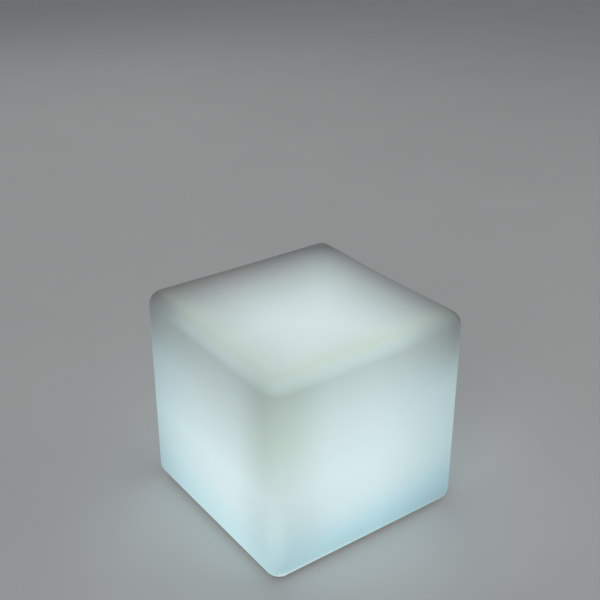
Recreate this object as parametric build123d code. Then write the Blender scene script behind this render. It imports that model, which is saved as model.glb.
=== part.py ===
from build123d import *
import math
import os

# A glowing garden cube that also serves as a stool. Millimetres, +Z up.
# The origin lies on the ground under the middle of the cube, where the feet stand.
# Left and right are -X and +X, front and back are -Y and +Y.

# Moulded body
body_width = 400.0  # along X
body_depth = 400.0  # along Y
body_height = 388.0  # the moulding alone, without its feet
edge_radius = 28.0  # the soft round along all twelve edges
wall = 4.0  # rotomoulded polyethylene, even all over

# Well in the underside that the lamp unit is sunk into
well_depth = 26.0
well_draft = 3.0  # degrees
mouth_round = 7.0
well_corner = 3.0
tool_overrun = 1.0  # how far a cutting solid runs past the face it cuts

# Feet and their pockets
foot_radius = 18.0
foot_proud = 4.0  # below the body
foot_seat = 4.0  # inside its pocket
foot_inset = 54.0  # foot centre from the side walls
foot_taper = 2.0
foot_edge = 1.2
foot_fit = 0.2
foot_recess_gap = 0.9  # round and under the screw's head

# Brass inserts moulded into the body
insert_wall = 1.6
insert_spare = 3.8  # thread left beyond the screw
insert_gap = 0.03
insert_cover = 2.6  # polyethylene round and over each insert

# Screws: shank radius, head radius and head height, and how far each bites
flange_screw_shank = 2.0
flange_screw_head = 4.0
flange_screw_height = 2.6
flange_screw_bite = 7.2
foot_screw_shank = 2.5
foot_screw_head = 5.0
foot_screw_height = 3.0
foot_screw_bite = 9.0
small_screw_shank = 1.4
small_screw_head = 2.7
small_screw_height = 1.7
small_screw_bite = 7.0
pilot_spare = 1.0  # blind hole left beyond a screw's tip
screw_gap = 0.1  # round a shank in its thread or pilot
screw_slack = 0.3  # round a shank in a plain hole
screw_bevel = 0.4  # share of the head's height that its bevel takes
recess_width = 1.0  # cross recess
recess_share = 0.55  # its depth and its reach, as shares of the head

# Lamp housing: a flanged cup that carries everything electric
flange_thick = 4.0
flange_seat = 13.0  # width of the ring that the flange and gasket press on
flange_gap = 3.0  # from the flange's edge to the well
gasket_thick = 2.0
gasket_inset = 1.0
cup_wall = 2.5
opening_gap = 2.0  # from the cup to the hole in the body
panel_inset = 10.0  # control panel's edge from the cup's outside
panel_recess = 4.0  # how far the control panel lies inside the flange's face
panel_slope = 2.0  # by how much the recess widens towards the face
floor_thick = 3.0
bay_air = 2.3  # above the tallest piece in the cup
flange_screw_count = 6
pad_margin = 2.2  # of the raised pads, round the screw heads
pad_height = 0.8
housing_round = 1.2

# Push button
button_x = -22.0
button_y = -24.0
button_radius = 9.0
button_crown = 0.9
button_flat = 5.4  # radius of the middle, which is nearly flat
button_dome = 0.3  # rise of the crown over that middle
button_edge = 1.6
button_collar_gap = 0.4
button_collar_wall = 2.2
button_travel = 1.5
button_spare = 0.5  # air left under the cap at full travel
button_proud = 1.2  # beyond the flange's face
stem_radius = 4.0
stem_gap = 0.06
bush_wall = 2.6
bush_rise = 4.0
seal_groove = 1.2
seal_gap = 0.03
clip_thick = 0.8
clip_wall = 2.0
clip_bite = 0.8
clip_gap = 0.05
clip_mouth = 4.5
stem_tip = 1.4  # stem left above the clip
plunger_radius = 1.8
plunger_sink = 1.2  # plunger already inside the switch at rest
plunger_gap = 0.1
switch_side = 8.5
switch_height = 6.0

# Charging socket and its rubber flap
socket_x = 24.0
socket_y = -24.0
socket_bore = 3.1
socket_wall = 2.4
socket_rim = 1.5  # the flange and the nut stand this far out of the barrel
socket_flange_thick = 1.2
socket_length = 18.0
socket_bore_depth = 10.0
socket_pin_radius = 1.0
socket_pin_recess = 2.6
socket_nut_thick = 2.5
lug_width = 2.4
lug_thick = 0.5
lug_length = 4.5
lug_spread = 5.0
flap_rim = 2.0  # of the flap's cap, round the socket's flange
flap_thick = 1.8
flap_strap = 8.0
flap_neck = 3.0  # from the cap to the hinge line
flap_gap = 0.15
flap_bung_gap = 0.5
flap_bung_length = 2.0
flap_lip = 2.5
flap_lip_width = 6.0
flap_lip_thick = 1.2
hinge_gap = 0.3
anchor_length = 10.0
anchor_screw_bite = 2.0

# Charge indicator: a light pipe over a small lamp under the board
lens_x = 0.0
lens_y = -36.0
lens_radius = 1.5
lens_head = 2.4
lens_proud = 0.7
lens_gap = 0.05
lens_air = 0.8  # to the lamp
charge_lamp = (1.6, 0.8, 0.7)

# Battery: two standard round cells side by side
cell_radius = 9.2
cell_length = 64.2
cell_bevel = 0.6
cell_cap_radius = 2.9
cell_cap_height = 0.8
cell_gap = 0.4
cell_lift = 1.5
cell_lead_room = 3.0  # from the cells' corners to the cup
saddle_thick = 3.0
saddle_inset = 10.1  # from the cells' ends
saddle_gap = 0.1
saddle_drop = 4.0  # from the cells' axis down to the top of the saddles
link_thick = 0.3
link_width = 8.0
strap_width = 12.0
strap_thick = 1.5
strap_pad = 0.6
strap_margin = 1.0  # of the strap's ends, round its posts
strap_gap = 1.5  # from the strap's end to the next boss
post_radius = 3.0
post_gap = 0.5

# Control board, laid out round the push switch and the charge lamp
board_left_margin = 16.0  # beyond the button's axis
board_front_margin = 4.0  # beyond the charge lamp
board_right = 8.0
board_back = -4.5
board_thick = 1.6
board_gap = 2.3  # from its corner to the cup
board_post_gap = 2.1  # from its back edge to the strap's post
board_hole_inset = 3.5
standoff_radius = 2.8
driver_count = 4
driver_size = (4.6, 6.2, 2.3)
driver_pitch = 7.5
driver_at = (10.0, 10.0)  # places on the board are from its front left corner
controller_size = (9.0, 6.5, 1.7)
controller_at = (12.0, 19.0)
charger_size = (5.0, 5.0, 1.5)
charger_at = (9.0, 28.0)
capacitor_radius = 3.1
capacitor_height = 7.0
capacitor_at = (28.0, 20.5)
capacitor_pitch = 7.5
coil_radius = 4.6
coil_height = 4.5
coil_waist = 3.4
coil_flange = 1.0
coil_at = (18.5, 29.0)
header_length = 6.0
header_width = 7.0
header_height = 5.6
header_wall = 0.8
header_gap = 0.4
plug_out = 2.4

# Heat spreader, LED board and cover
spreader_thick = 2.0
spreader_gap = 0.2
led_board_gap = 6.0  # from its edge to the foot of the dome
led_board_thick = 1.6
led_side = 5.0
led_height = 1.5
inner_leds = 8
inner_led_circle = 18.0
outer_leds = 16
outer_led_inset = 10.0
led_screw_count = 4
led_screw_inset = 3.5
lead_hole_radius = 4.6
lead_hole_angle = -30.0
dome_gasket_thick = 1.2
dome_flange_width = 11.0
dome_flange_thick = 2.5
dome_rise = 26.0
dome_wall = 2.0
dome_screw_count = 6
dome_screw_first = 30.0  # degrees from +X, clear of the cells and the board
dome_boss_radius = 4.0
dome_boss_inset = 3.2
receiver_x = -5.0
receiver_size = (3.5, 6.0, 7.0)
receiver_eye = 2.4
receiver_brow = 0.3  # case above the eye

# Leads
plug_side = 5.0
plug_rise = 4.0
led_plug_x = 7.5
led_plug_y = -8.0
wire_radius = 0.8
wire_pitch = 2.4
led_cable_radius = 0.9
wire_end_gap = 0.3
arc_share = 0.45  # of the shorter run, that each bend takes up

# Heights that follow from the sizes above
body_low = foot_proud
body_high = body_low + body_height
ledge_low = body_low + well_depth
ledge_high = ledge_low + wall
flange_high = ledge_low - gasket_thick
face_z = flange_high - flange_thick
panel_z = face_z + panel_recess
floor_z = panel_z + floor_thick
bush_high = floor_z + bush_rise
stem_high = bush_high + clip_thick + stem_tip
switch_low = stem_high + button_travel + button_spare
board_low = switch_low + switch_height
board_high = board_low + board_thick
header_z = board_high + header_height / 2
cell_z = floor_z + cell_lift + cell_radius
strap_low = cell_z + cell_radius + strap_pad
strap_high = strap_low + strap_thick
spreader_low = max(strap_high + small_screw_height, board_high + capacitor_height) + bay_air
rim_z = spreader_low + spreader_thick
led_board_high = rim_z + led_board_thick
dome_low = rim_z + dome_gasket_thick
dome_shoulder = dome_low + dome_flange_thick
button_high = panel_z - button_travel - button_spare
button_low = face_z - button_proud
seal_z = (panel_z + floor_z) / 2
socket_mouth = panel_z - socket_flange_thick
socket_high = panel_z + socket_length
flap_low = socket_mouth - flap_gap - flap_thick
hinge_z = panel_z - flap_gap - flap_thick / 2
foot_screw_seat = foot_screw_height + foot_recess_gap
foot_pocket_high = body_low + foot_seat
foot_insert_high = foot_pocket_high + foot_screw_bite + insert_spare
insert_high = ledge_low + flange_screw_bite + insert_spare
pad_low = face_z - pad_height

# Places inside the cup
board_left = button_x - board_left_margin
board_front = lens_y - board_front_margin
cell_pitch = 2 * cell_radius + cell_gap
post_reach = cell_pitch / 2 + cell_radius + post_gap + post_radius
battery_y = board_back + board_post_gap + post_radius + post_reach
cell_ys = [battery_y - cell_pitch / 2, battery_y + cell_pitch / 2]
post_ys = [battery_y - post_reach, battery_y + post_reach]
strap_end = post_radius + strap_margin
cell_reach = (cell_length + cell_cap_height) / 2 + link_thick

# The cup is as wide as its fullest direction needs: the board's corner, the cells' or the strap's end
board_room = math.hypot(board_left, board_front) + board_gap
cell_room = math.hypot(cell_reach, cell_ys[1] + cell_radius) + cell_lead_room
strap_room = post_ys[1] + strap_end + strap_gap + dome_boss_radius + dome_boss_inset
cup_bore = max(board_room, cell_room, strap_room)
cup_radius = cup_bore + cup_wall
dome_boss_circle = cup_bore - dome_boss_inset
panel_radius = cup_radius - panel_inset
opening_radius = cup_radius + opening_gap
flange_radius = opening_radius + flange_seat
screw_circle = opening_radius + flange_seat / 2
well_radius = flange_radius + flange_gap
mouth_radius = well_radius + well_depth * math.tan(math.radians(well_draft))
dome_base_radius = cup_radius - dome_flange_width
led_board_radius = dome_base_radius - led_board_gap
outer_led_circle = led_board_radius - outer_led_inset
led_screw_circle = led_board_radius - led_screw_inset
lead_hole_circle = (inner_led_circle + outer_led_circle) / 2
lead_hole_x = lead_hole_circle * math.cos(math.radians(lead_hole_angle))
lead_hole_y = lead_hole_circle * math.sin(math.radians(lead_hole_angle))

# Radii and places outside
foot_x = body_width / 2 - foot_inset
foot_y = body_depth / 2 - foot_inset
insert_radius = flange_screw_shank + insert_wall
foot_insert_radius = foot_screw_shank + insert_wall
foot_pocket = foot_radius + foot_fit
bush_bore = stem_radius + stem_gap
collar_bore = button_radius + button_collar_gap
seal_radius = (bush_bore - seal_gap - (stem_radius - seal_groove)) / 2
socket_barrel = socket_bore + socket_wall
socket_flange = socket_barrel + socket_rim
flap_radius = socket_flange + flap_rim
hinge_x = socket_x - flap_radius - flap_neck
anchor_x = hinge_x - anchor_length / 2

bottom_up = (Align.CENTER, Align.CENTER, Align.MIN)


def disc(radius, low, high, x=0.0, y=0.0):
    # an upright cylinder between two heights
    return Pos(x, y, low) * Cylinder(radius, high - low, align=bottom_up)


def ring(outer, inner, low, high, x=0.0, y=0.0):
    return disc(outer, low, high, x, y) - disc(inner, low - tool_overrun, high + tool_overrun, x, y)


def block(width, depth, low, high, x=0.0, y=0.0):
    return Pos(x, y, low) * Box(width, depth, high - low, align=bottom_up)


def turned(points, rounds=None):
    # a solid turned about Z from (radius, height) corners, with a round at each corner that has one
    spots = [(r, 0, z) for r, z in points]
    outline = FilletPolyline(*spots, radius=rounds, close=True) if rounds else Polyline(*spots, close=True)
    return revolve(make_face(outline), Axis.Z)


def drill(body, radius, low, high, places):
    # a plain hole through body at each place, run past both heights
    for x, y in places:
        body -= disc(radius, low - tool_overrun, high + tool_overrun, x, y)
    return body


def sink(body, radius, low, high, places):
    # a hole that is open at its lower end only
    for x, y in places:
        body -= disc(radius, low - tool_overrun, high, x, y)
    return body


def blind(body, radius, low, high, places):
    # a hole that is open at its upper end only
    for x, y in places:
        body -= disc(radius, low, high + tool_overrun, x, y)
    return body


def circle_points(count, radius, first=0.0):
    angles = [math.radians(first + 360.0 * k / count) for k in range(count)]
    return [(radius * math.cos(angle), radius * math.sin(angle)) for angle in angles]


def corners(x, y):
    return [(sx * x, sy * y) for sx in (-1, 1) for sy in (-1, 1)]


def group(shapes):
    # several loose solids kept in one piece of the list
    return Compound([solid for shape in shapes for solid in shape.solids()])


def screw(shank, length, head, height, recess=0.0):
    # head above the origin, shank below it
    bevel = height * screw_bevel
    points = [
        (0, height),
        (head - bevel, height),
        (head, height - bevel),
        (head, 0),
        (shank, 0),
        (shank, -length),
        (0, -length),
    ]
    body = turned(points)
    if recess:
        slot = block(recess, 2 * head * recess_share, height * (1 - recess_share), height + tool_overrun)
        body -= slot + Rot(0, 0, 90) * slot
    return body


def small_screws(places, head_z, grip):
    # the same self-tapping screw everywhere inside the cup
    one = screw(small_screw_shank, grip + small_screw_bite, small_screw_head, small_screw_height)
    return group(Pos(x, y, head_z) * one for x, y in places)


def wire(points, radius, name):
    # a tube of straight runs joined by arcs as large as the runs allow
    spots = [Vector(*p) for p in points]
    radii = []
    for before, here, after in zip(spots, spots[1:], spots[2:]):
        run_in, run_out = here - before, after - here
        half_turn = math.radians(run_in.get_angle(run_out)) / 2
        radii.append(arc_share * min(run_in.length, run_out.length) / math.tan(half_turn))
    path = FilletPolyline(*spots, radius=radii) if radii else Line(*spots)
    start = Plane(origin=spots[0], z_dir=spots[1] - spots[0])
    tube = sweep(start * Circle(radius), path=path)
    share = tube.volume / (math.pi * radius**2 * path.length)
    bends = [round(r, 1) for r in radii]
    print(name, "radii", bends, "length", round(path.length, 1), "volume", round(share, 4))
    return tube


def well_void():
    mouth = mouth_radius + 2 * mouth_round
    points = [
        (0, body_low - tool_overrun),
        (mouth, body_low - tool_overrun),
        (mouth, body_low),
        (mouth_radius, body_low),
        (well_radius, ledge_low),
        (0, ledge_low),
    ]
    return turned(points, [0, 0, 0, mouth_round, well_corner, 0])


def well_wall():
    # the same well, one wall thickness larger
    flare = mouth_round + wall
    points = [
        (0, body_low),
        (mouth_radius + wall + flare, body_low),
        (mouth_radius + wall + flare, body_low + wall),
        (mouth_radius + wall, body_low + wall),
        (well_radius + wall, ledge_high),
        (0, ledge_high),
    ]
    return turned(points)


def feet():
    return corners(foot_x, foot_y)


def flange_screw_places():
    return circle_points(flange_screw_count, screw_circle)


def dome_screw_places():
    return circle_points(dome_screw_count, dome_boss_circle, dome_screw_first)


def led_screw_places():
    return circle_points(led_screw_count, led_screw_circle)


def board_holes():
    xs = (board_left + board_hole_inset, board_right - board_hole_inset)
    ys = (board_front + board_hole_inset, board_back - board_hole_inset)
    return [(x, y) for x in xs for y in ys]


def cube_shell():
    outside = fillet(block(body_width, body_depth, body_low, body_high).edges(), edge_radius)
    inside = block(body_width - 2 * wall, body_depth - 2 * wall, body_low + wall, body_high - wall)
    inside = fillet(inside.edges(), edge_radius - wall)

    # what stands into the hollow: the well, the foot pockets and a boss round each insert
    inside -= well_wall()
    foot_boss = foot_insert_radius + insert_cover
    foot_boss_high = foot_insert_high + insert_cover
    for x, y in feet():
        inside -= disc(foot_pocket + wall, body_low, foot_pocket_high + wall, x, y)
        inside -= disc(foot_boss, body_low, foot_boss_high, x, y)
    boss_high = insert_high + insert_cover
    for x, y in flange_screw_places():
        inside -= disc(insert_radius + insert_cover, ledge_low, boss_high, x, y)

    # the openings from below
    shell = outside - inside - well_void()
    shell = drill(shell, opening_radius, ledge_low, ledge_high, [(0, 0)])
    shell = sink(shell, foot_pocket, body_low, foot_pocket_high, feet())
    shell = sink(shell, foot_insert_radius + insert_gap, foot_pocket_high, foot_insert_high, feet())
    return sink(shell, insert_radius + insert_gap, ledge_low, insert_high, flange_screw_places())


def lamp_inserts():
    bore = flange_screw_shank + screw_gap
    return group(ring(insert_radius, bore, ledge_low, insert_high, x, y) for x, y in flange_screw_places())


def foot_inserts():
    bore = foot_screw_shank + screw_gap
    return group(ring(foot_insert_radius, bore, foot_pocket_high, foot_insert_high, x, y) for x, y in feet())


def rubber_foot(x, y):
    recess = foot_screw_head + foot_recess_gap
    hole = foot_screw_shank + screw_slack
    points = [
        (hole, foot_screw_seat),
        (recess, foot_screw_seat),
        (recess, 0),
        (foot_radius - foot_taper - foot_edge, 0),
        (foot_radius - foot_taper, foot_edge),
        (foot_radius, foot_proud),
        (foot_radius, foot_pocket_high),
        (hole, foot_pocket_high),
    ]
    return Pos(x, y, 0) * turned(points)


def foot_screws():
    length = foot_pocket_high - foot_screw_seat + foot_screw_bite
    one = Rot(180, 0, 0) * screw(foot_screw_shank, length, foot_screw_head, foot_screw_height, recess_width)
    return group(Pos(x, y, foot_screw_seat) * one for x, y in feet())


def flange_gasket():
    gasket = ring(flange_radius - gasket_inset, opening_radius, flange_high, ledge_low)
    return drill(gasket, flange_screw_shank + screw_slack, flange_high, ledge_low, flange_screw_places())


def flange_screws():
    length = pad_height + flange_thick + gasket_thick + flange_screw_bite
    one = screw(flange_screw_shank, length, flange_screw_head, flange_screw_height, recess_width)
    return group(Pos(x, y, pad_low) * Rot(180, 0, 0) * one for x, y in flange_screw_places())


def housing_saddles():
    # two ribs with a trough for each cell
    span = cell_pitch + 2 * cell_radius
    reach = cell_length / 2 - saddle_inset
    high = cell_z - saddle_drop
    saddles = block(saddle_thick, span, floor_z, high, -reach, battery_y)
    saddles += block(saddle_thick, span, floor_z, high, reach, battery_y)
    for y in cell_ys:
        saddles -= Pos(0, y, cell_z) * Rot(0, 90, 0) * Cylinder(cell_radius + saddle_gap, cell_length)
    return saddles


def housing_shell():
    # the turned cup with its flange, the pads under the screw heads and the guard round the button
    points = [
        (0, panel_z),
        (panel_radius, panel_z),
        (panel_radius + panel_slope, face_z),
        (flange_radius, face_z),
        (flange_radius, flange_high),
        (cup_radius, flange_high),
        (cup_radius, rim_z),
        (cup_bore, rim_z),
        (cup_bore, floor_z),
        (0, floor_z),
    ]
    rounds = [0, housing_round, housing_round, housing_round, 0, 0, 0, 0, 0, 0]
    body = turned(points, rounds)
    for x, y in flange_screw_places():
        body += disc(flange_screw_head + pad_margin, pad_low, face_z, x, y)
    return body + disc(collar_bore + button_collar_wall, face_z, panel_z, button_x, button_y)


def lamp_housing():
    body = housing_shell()

    # inside: saddles, posts, bosses, standoffs and the button's bush
    body += housing_saddles()
    for y in post_ys:
        body += disc(post_radius, floor_z, strap_low, 0, y)
    for x, y in dome_screw_places():
        body += disc(dome_boss_radius, floor_z, spreader_low, x, y)
    for x, y in board_holes():
        body += disc(standoff_radius, floor_z, board_low, x, y)
    body += disc(bush_bore + bush_wall, floor_z, bush_high, button_x, button_y)

    # holes for what screws in or passes through
    button, socket, lens = [(button_x, button_y)], [(socket_x, socket_y)], [(lens_x, lens_y)]
    pilot = small_screw_shank + screw_gap
    pilot_depth = small_screw_bite + pilot_spare
    body = blind(body, pilot, strap_low - pilot_depth, strap_low, [(0, y) for y in post_ys])
    body = blind(body, pilot, spreader_low - pilot_depth, spreader_low, dome_screw_places())
    body = blind(body, pilot, board_low - pilot_depth, board_low, board_holes())
    body = drill(body, flange_screw_shank + screw_slack, pad_low, flange_high, flange_screw_places())
    body = sink(body, collar_bore, face_z, panel_z, button)
    body = drill(body, bush_bore, panel_z, bush_high, button)
    body = drill(body, socket_barrel + screw_gap, panel_z, floor_z, socket)
    body = drill(body, lens_radius + lens_gap, panel_z, floor_z, lens)
    return sink(body, pilot, panel_z, panel_z + anchor_screw_bite, [(anchor_x, socket_y)])


def power_button():
    # a crowned cap on a stem, with a groove for the seal and one for the clip
    groove_low = seal_z - seal_radius - screw_gap
    groove_high = seal_z + seal_radius + screw_gap
    seal_neck = stem_radius - seal_groove
    clip_neck = stem_radius - clip_bite
    clip_high = bush_high + clip_thick + 2 * clip_gap
    points = [
        (0, button_low),
        (button_flat, button_low + button_dome),
        (button_radius, button_low + button_crown),
        (button_radius, button_high),
        (stem_radius, button_high),
        (stem_radius, groove_low),
        (seal_neck, groove_low),
        (seal_neck, groove_high),
        (stem_radius, groove_high),
        (stem_radius, bush_high),
        (clip_neck, bush_high),
        (clip_neck, clip_high),
        (stem_radius, clip_high),
        (stem_radius, stem_high),
        (0, stem_high),
    ]
    rounds = [0, 0, min(button_edge, (button_high - button_low) / 2)] + [0] * 12
    return Pos(button_x, button_y, 0) * turned(points, rounds)


def button_seal():
    # a ring squeezed between the groove and the bush
    major = stem_radius - seal_groove + seal_radius
    return Pos(button_x, button_y, seal_z) * Torus(major, seal_radius)


def button_clip():
    # an open ring that snaps into the stem above the bush
    bore = stem_radius - clip_bite + clip_gap
    low = bush_high + clip_gap
    high = low + clip_thick
    clip = ring(bore + clip_wall, bore, low, high)
    clip -= block(2 * clip_wall, clip_mouth, low - tool_overrun, high + tool_overrun, bore + clip_wall / 2)
    return Pos(button_x, button_y, 0) * clip


def switch_plunger():
    return disc(plunger_radius, stem_high + clip_gap, switch_low + plunger_sink, button_x, button_y)


def push_switch():
    body = block(switch_side, switch_side, switch_low, board_low, button_x, button_y)
    bore_high = switch_low + plunger_sink + button_travel + button_spare
    return sink(body, plunger_radius + plunger_gap, switch_low, bore_high, [(button_x, button_y)])


def charge_socket():
    body = disc(socket_flange, socket_mouth, panel_z, socket_x, socket_y)
    body += disc(socket_barrel, panel_z, socket_high, socket_x, socket_y)
    return sink(body, socket_bore, socket_mouth, socket_mouth + socket_bore_depth, [(socket_x, socket_y)])


def socket_pin():
    low = socket_mouth + socket_pin_recess
    return disc(socket_pin_radius, low, socket_mouth + socket_bore_depth, socket_x, socket_y)


def socket_nut():
    # a hexagon, as wide across its flats as the socket's flange
    hexagon = RegularPolygon(socket_flange, 6, major_radius=False)
    nut = Pos(socket_x, socket_y, floor_z) * extrude(hexagon, socket_nut_thick)
    return drill(nut, socket_barrel + screw_gap, floor_z, floor_z + socket_nut_thick, [(socket_x, socket_y)])


def socket_lugs():
    ys = (socket_y - lug_spread / 2, socket_y + lug_spread / 2)
    return group(block(lug_thick, lug_width, socket_high, socket_high + lug_length, socket_x, y) for y in ys)


def socket_flap():
    # a cap over the socket's flange, a bung in its mouth, a lip to lift it by and a strap to the hinge line
    cap_high = panel_z - flap_gap
    cap = disc(flap_radius, flap_low, cap_high, socket_x, socket_y)
    lip_x = socket_x + flap_radius
    cap += block(2 * flap_lip, flap_lip_width, flap_low, flap_low + flap_lip_thick, lip_x, socket_y)
    room = socket_flange + 2 * flap_gap
    cap -= disc(room, socket_mouth - flap_gap, cap_high + tool_overrun, socket_x, socket_y)
    bung_high = socket_mouth + flap_bung_length
    cap += disc(socket_bore - flap_bung_gap, flap_low + flap_thick / 2, bung_high, socket_x, socket_y)
    length = socket_x - (room + flap_radius) / 2 - hinge_x
    strap = block(length, flap_strap, hinge_z - flap_thick / 2, cap_high, hinge_x + length / 2, socket_y)
    knuckle = Pos(hinge_x, socket_y, hinge_z) * Rot(90, 0, 0) * Cylinder(flap_thick / 2, flap_strap)
    return cap + strap + knuckle


def flap_anchor():
    # the fixed end of the same moulding, which stops short of the hinge line's knuckle
    low = hinge_z - flap_thick / 2
    end = hinge_x - flap_thick / 2 - hinge_gap
    start = hinge_x - anchor_length
    anchor = block(end - start, flap_strap, low, panel_z, (start + end) / 2, socket_y)
    return drill(anchor, small_screw_shank + screw_gap, low, panel_z, [(anchor_x, socket_y)])


def anchor_screw():
    low = hinge_z - flap_thick / 2
    length = panel_z - low + anchor_screw_bite - screw_gap
    one = screw(small_screw_shank, length, small_screw_head, small_screw_height)
    return Pos(anchor_x, socket_y, low) * Rot(180, 0, 0) * one


def indicator_lens():
    lamp_low = board_low - charge_lamp[2]
    lens = disc(lens_head, panel_z - lens_proud, panel_z, lens_x, lens_y)
    return lens + disc(lens_radius, panel_z, lamp_low - lens_air, lens_x, lens_y)


def battery_cell(y, turn):
    # a round cell along X, with its raised end to +X or, turned, to -X
    can = Cylinder(cell_radius, cell_length)
    can = chamfer(can.edges(), cell_bevel)
    can += Pos(0, 0, cell_length / 2) * Cylinder(cell_cap_radius, cell_cap_height, align=bottom_up)
    return Pos(-turn * cell_cap_height / 2, y, cell_z) * Rot(0, 90 * turn, 0) * can


def cell_links():
    # one strip joins the cells at -X, and a tag on each takes a lead at +X
    middle = cell_reach - link_thick / 2
    joined = Box(link_thick, cell_pitch + link_width, link_width)
    tag = Box(link_thick, link_width, link_width)
    strips = [Pos(-middle, battery_y, cell_z) * joined]
    strips += [Pos(middle, y, cell_z) * tag for y in cell_ys]
    return group(strips)


def battery_pad():
    return block(strap_width, cell_pitch + cell_radius, strap_low - strap_pad, strap_low, 0, battery_y)


def battery_strap():
    length = post_ys[1] - post_ys[0] + 2 * strap_end
    strap = block(strap_width, length, strap_low, strap_high, 0, battery_y)
    strap = fillet(strap.edges().filter_by(Axis.Z), min(strap_end, strap_width / 2 - strap_margin))
    return drill(strap, small_screw_shank + screw_gap, strap_low, strap_high, [(0, y) for y in post_ys])


def strap_screws():
    return small_screws([(0, y) for y in post_ys], strap_high, strap_thick)


def control_board():
    width = board_right - board_left
    depth = board_back - board_front
    middle = ((board_left + board_right) / 2, (board_front + board_back) / 2)
    board = block(width, depth, board_low, board_high, *middle)
    board = fillet(board.edges().filter_by(Axis.Z), board_hole_inset / 2)
    return drill(board, small_screw_shank + screw_gap, board_low, board_high, board_holes())


def board_screws():
    return small_screws(board_holes(), board_high, board_thick)


def chip(size, place, step=0.0):
    width, depth, height = size
    x, y = board_left + place[0] + step, board_front + place[1]
    return block(width, depth, board_high, board_high + height, x, y)


def board_chips():
    # controller, charger, the colour drivers in a row and the charge lamp underneath
    chips = [chip(driver_size, driver_at, driver_pitch * k) for k in range(driver_count)]
    chips += [chip(controller_size, controller_at), chip(charger_size, charger_at)]
    width, depth, height = charge_lamp
    chips.append(block(width, depth, board_low - height, board_low, lens_x, lens_y))
    return group(chips)


def board_capacitors():
    x = board_left + capacitor_at[0]
    ys = (board_front + capacitor_at[1], board_front + capacitor_at[1] + capacitor_pitch)
    return group(disc(capacitor_radius, board_high, board_high + capacitor_height, x, y) for y in ys)


def board_coil():
    # a bobbin, drawn in at its waist
    points = [
        (0, 0),
        (coil_radius, 0),
        (coil_radius, coil_flange),
        (coil_waist, coil_flange),
        (coil_waist, coil_height - coil_flange),
        (coil_radius, coil_height - coil_flange),
        (coil_radius, coil_height),
        (0, coil_height),
    ]
    return Pos(board_left + coil_at[0], board_front + coil_at[1], board_high) * turned(points)


def header_ys():
    middle = (board_front + board_back) / 2
    pitch = header_width + header_gap
    return [middle + pitch, middle, middle - pitch]


def lead_headers():
    # sockets along the board's right edge, open towards +X
    high = board_high + header_height
    shell = block(header_length, header_width, board_high, high)
    room = block(header_length, header_width - 2 * header_wall, board_high + header_wall, high - header_wall)
    shell -= Pos(header_wall, 0, 0) * room
    return group(Pos(board_right - header_length / 2, y, 0) * shell for y in header_ys())


def lead_plugs():
    length = header_length - header_wall + plug_out
    width = header_width - 2 * header_wall - screw_gap
    low = board_high + header_wall + screw_gap / 2
    high = board_high + header_height - header_wall - screw_gap / 2
    x = board_right + plug_out - length / 2
    return group(block(length, width, low, high, x, y) for y in header_ys())


def heat_spreader():
    plate = disc(cup_bore - spreader_gap, spreader_low, rim_z)
    plate = drill(plate, small_screw_shank + screw_slack, spreader_low, rim_z, dome_screw_places())
    plate = drill(plate, small_screw_shank + screw_gap, spreader_low, rim_z, led_screw_places())
    return drill(plate, lead_hole_radius, spreader_low, rim_z, [(lead_hole_x, lead_hole_y)])


def led_board():
    board = disc(led_board_radius, rim_z, led_board_high)
    board = drill(board, small_screw_shank + screw_gap, rim_z, led_board_high, led_screw_places())
    return drill(board, lead_hole_radius, rim_z, led_board_high, [(lead_hole_x, lead_hole_y)])


def led_board_screws():
    length = led_board_thick + spreader_thick
    one = screw(small_screw_shank, length, small_screw_head, small_screw_height)
    return group(Pos(x, y, led_board_high) * one for x, y in led_screw_places())


def led_chips():
    # two rings of square packages, each turned to face the middle
    chips = []
    for count, radius in ((inner_leds, inner_led_circle), (outer_leds, outer_led_circle)):
        one = block(led_side, led_side, led_board_high, led_board_high + led_height, radius)
        chips += [Rot(0, 0, 360.0 * (k + 0.5) / count) * one for k in range(count)]
    return group(chips)


def remote_receiver():
    # the domed pick-up for the remote control, near the middle of the LED board
    width, depth, height = receiver_size
    body = block(width, depth, led_board_high, led_board_high + height, receiver_x)
    eye_z = led_board_high + height - receiver_eye - receiver_brow
    return body + Pos(receiver_x - width / 2, 0, eye_z) * Sphere(receiver_eye)


def dome_gasket():
    gasket = ring(cup_radius, dome_base_radius, rim_z, dome_low)
    return drill(gasket, small_screw_shank + screw_slack, rim_z, dome_low, dome_screw_places())


def lamp_dome():
    # part of a hollow ball, with a flange round its foot
    ball = (dome_base_radius**2 + dome_rise**2) / (2 * dome_rise)
    centre = dome_low + dome_rise - ball
    dome = Pos(0, 0, centre) * Sphere(ball)
    dome = dome & disc(cup_radius, dome_low, dome_low + dome_rise + tool_overrun)
    dome += disc(cup_radius, dome_low, dome_shoulder)
    dome -= Pos(0, 0, centre) * Sphere(ball - dome_wall)
    return drill(dome, small_screw_shank + screw_slack, dome_low, dome_shoulder, dome_screw_places())


def dome_screws():
    return small_screws(dome_screw_places(), dome_shoulder, dome_shoulder - spreader_low)


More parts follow.
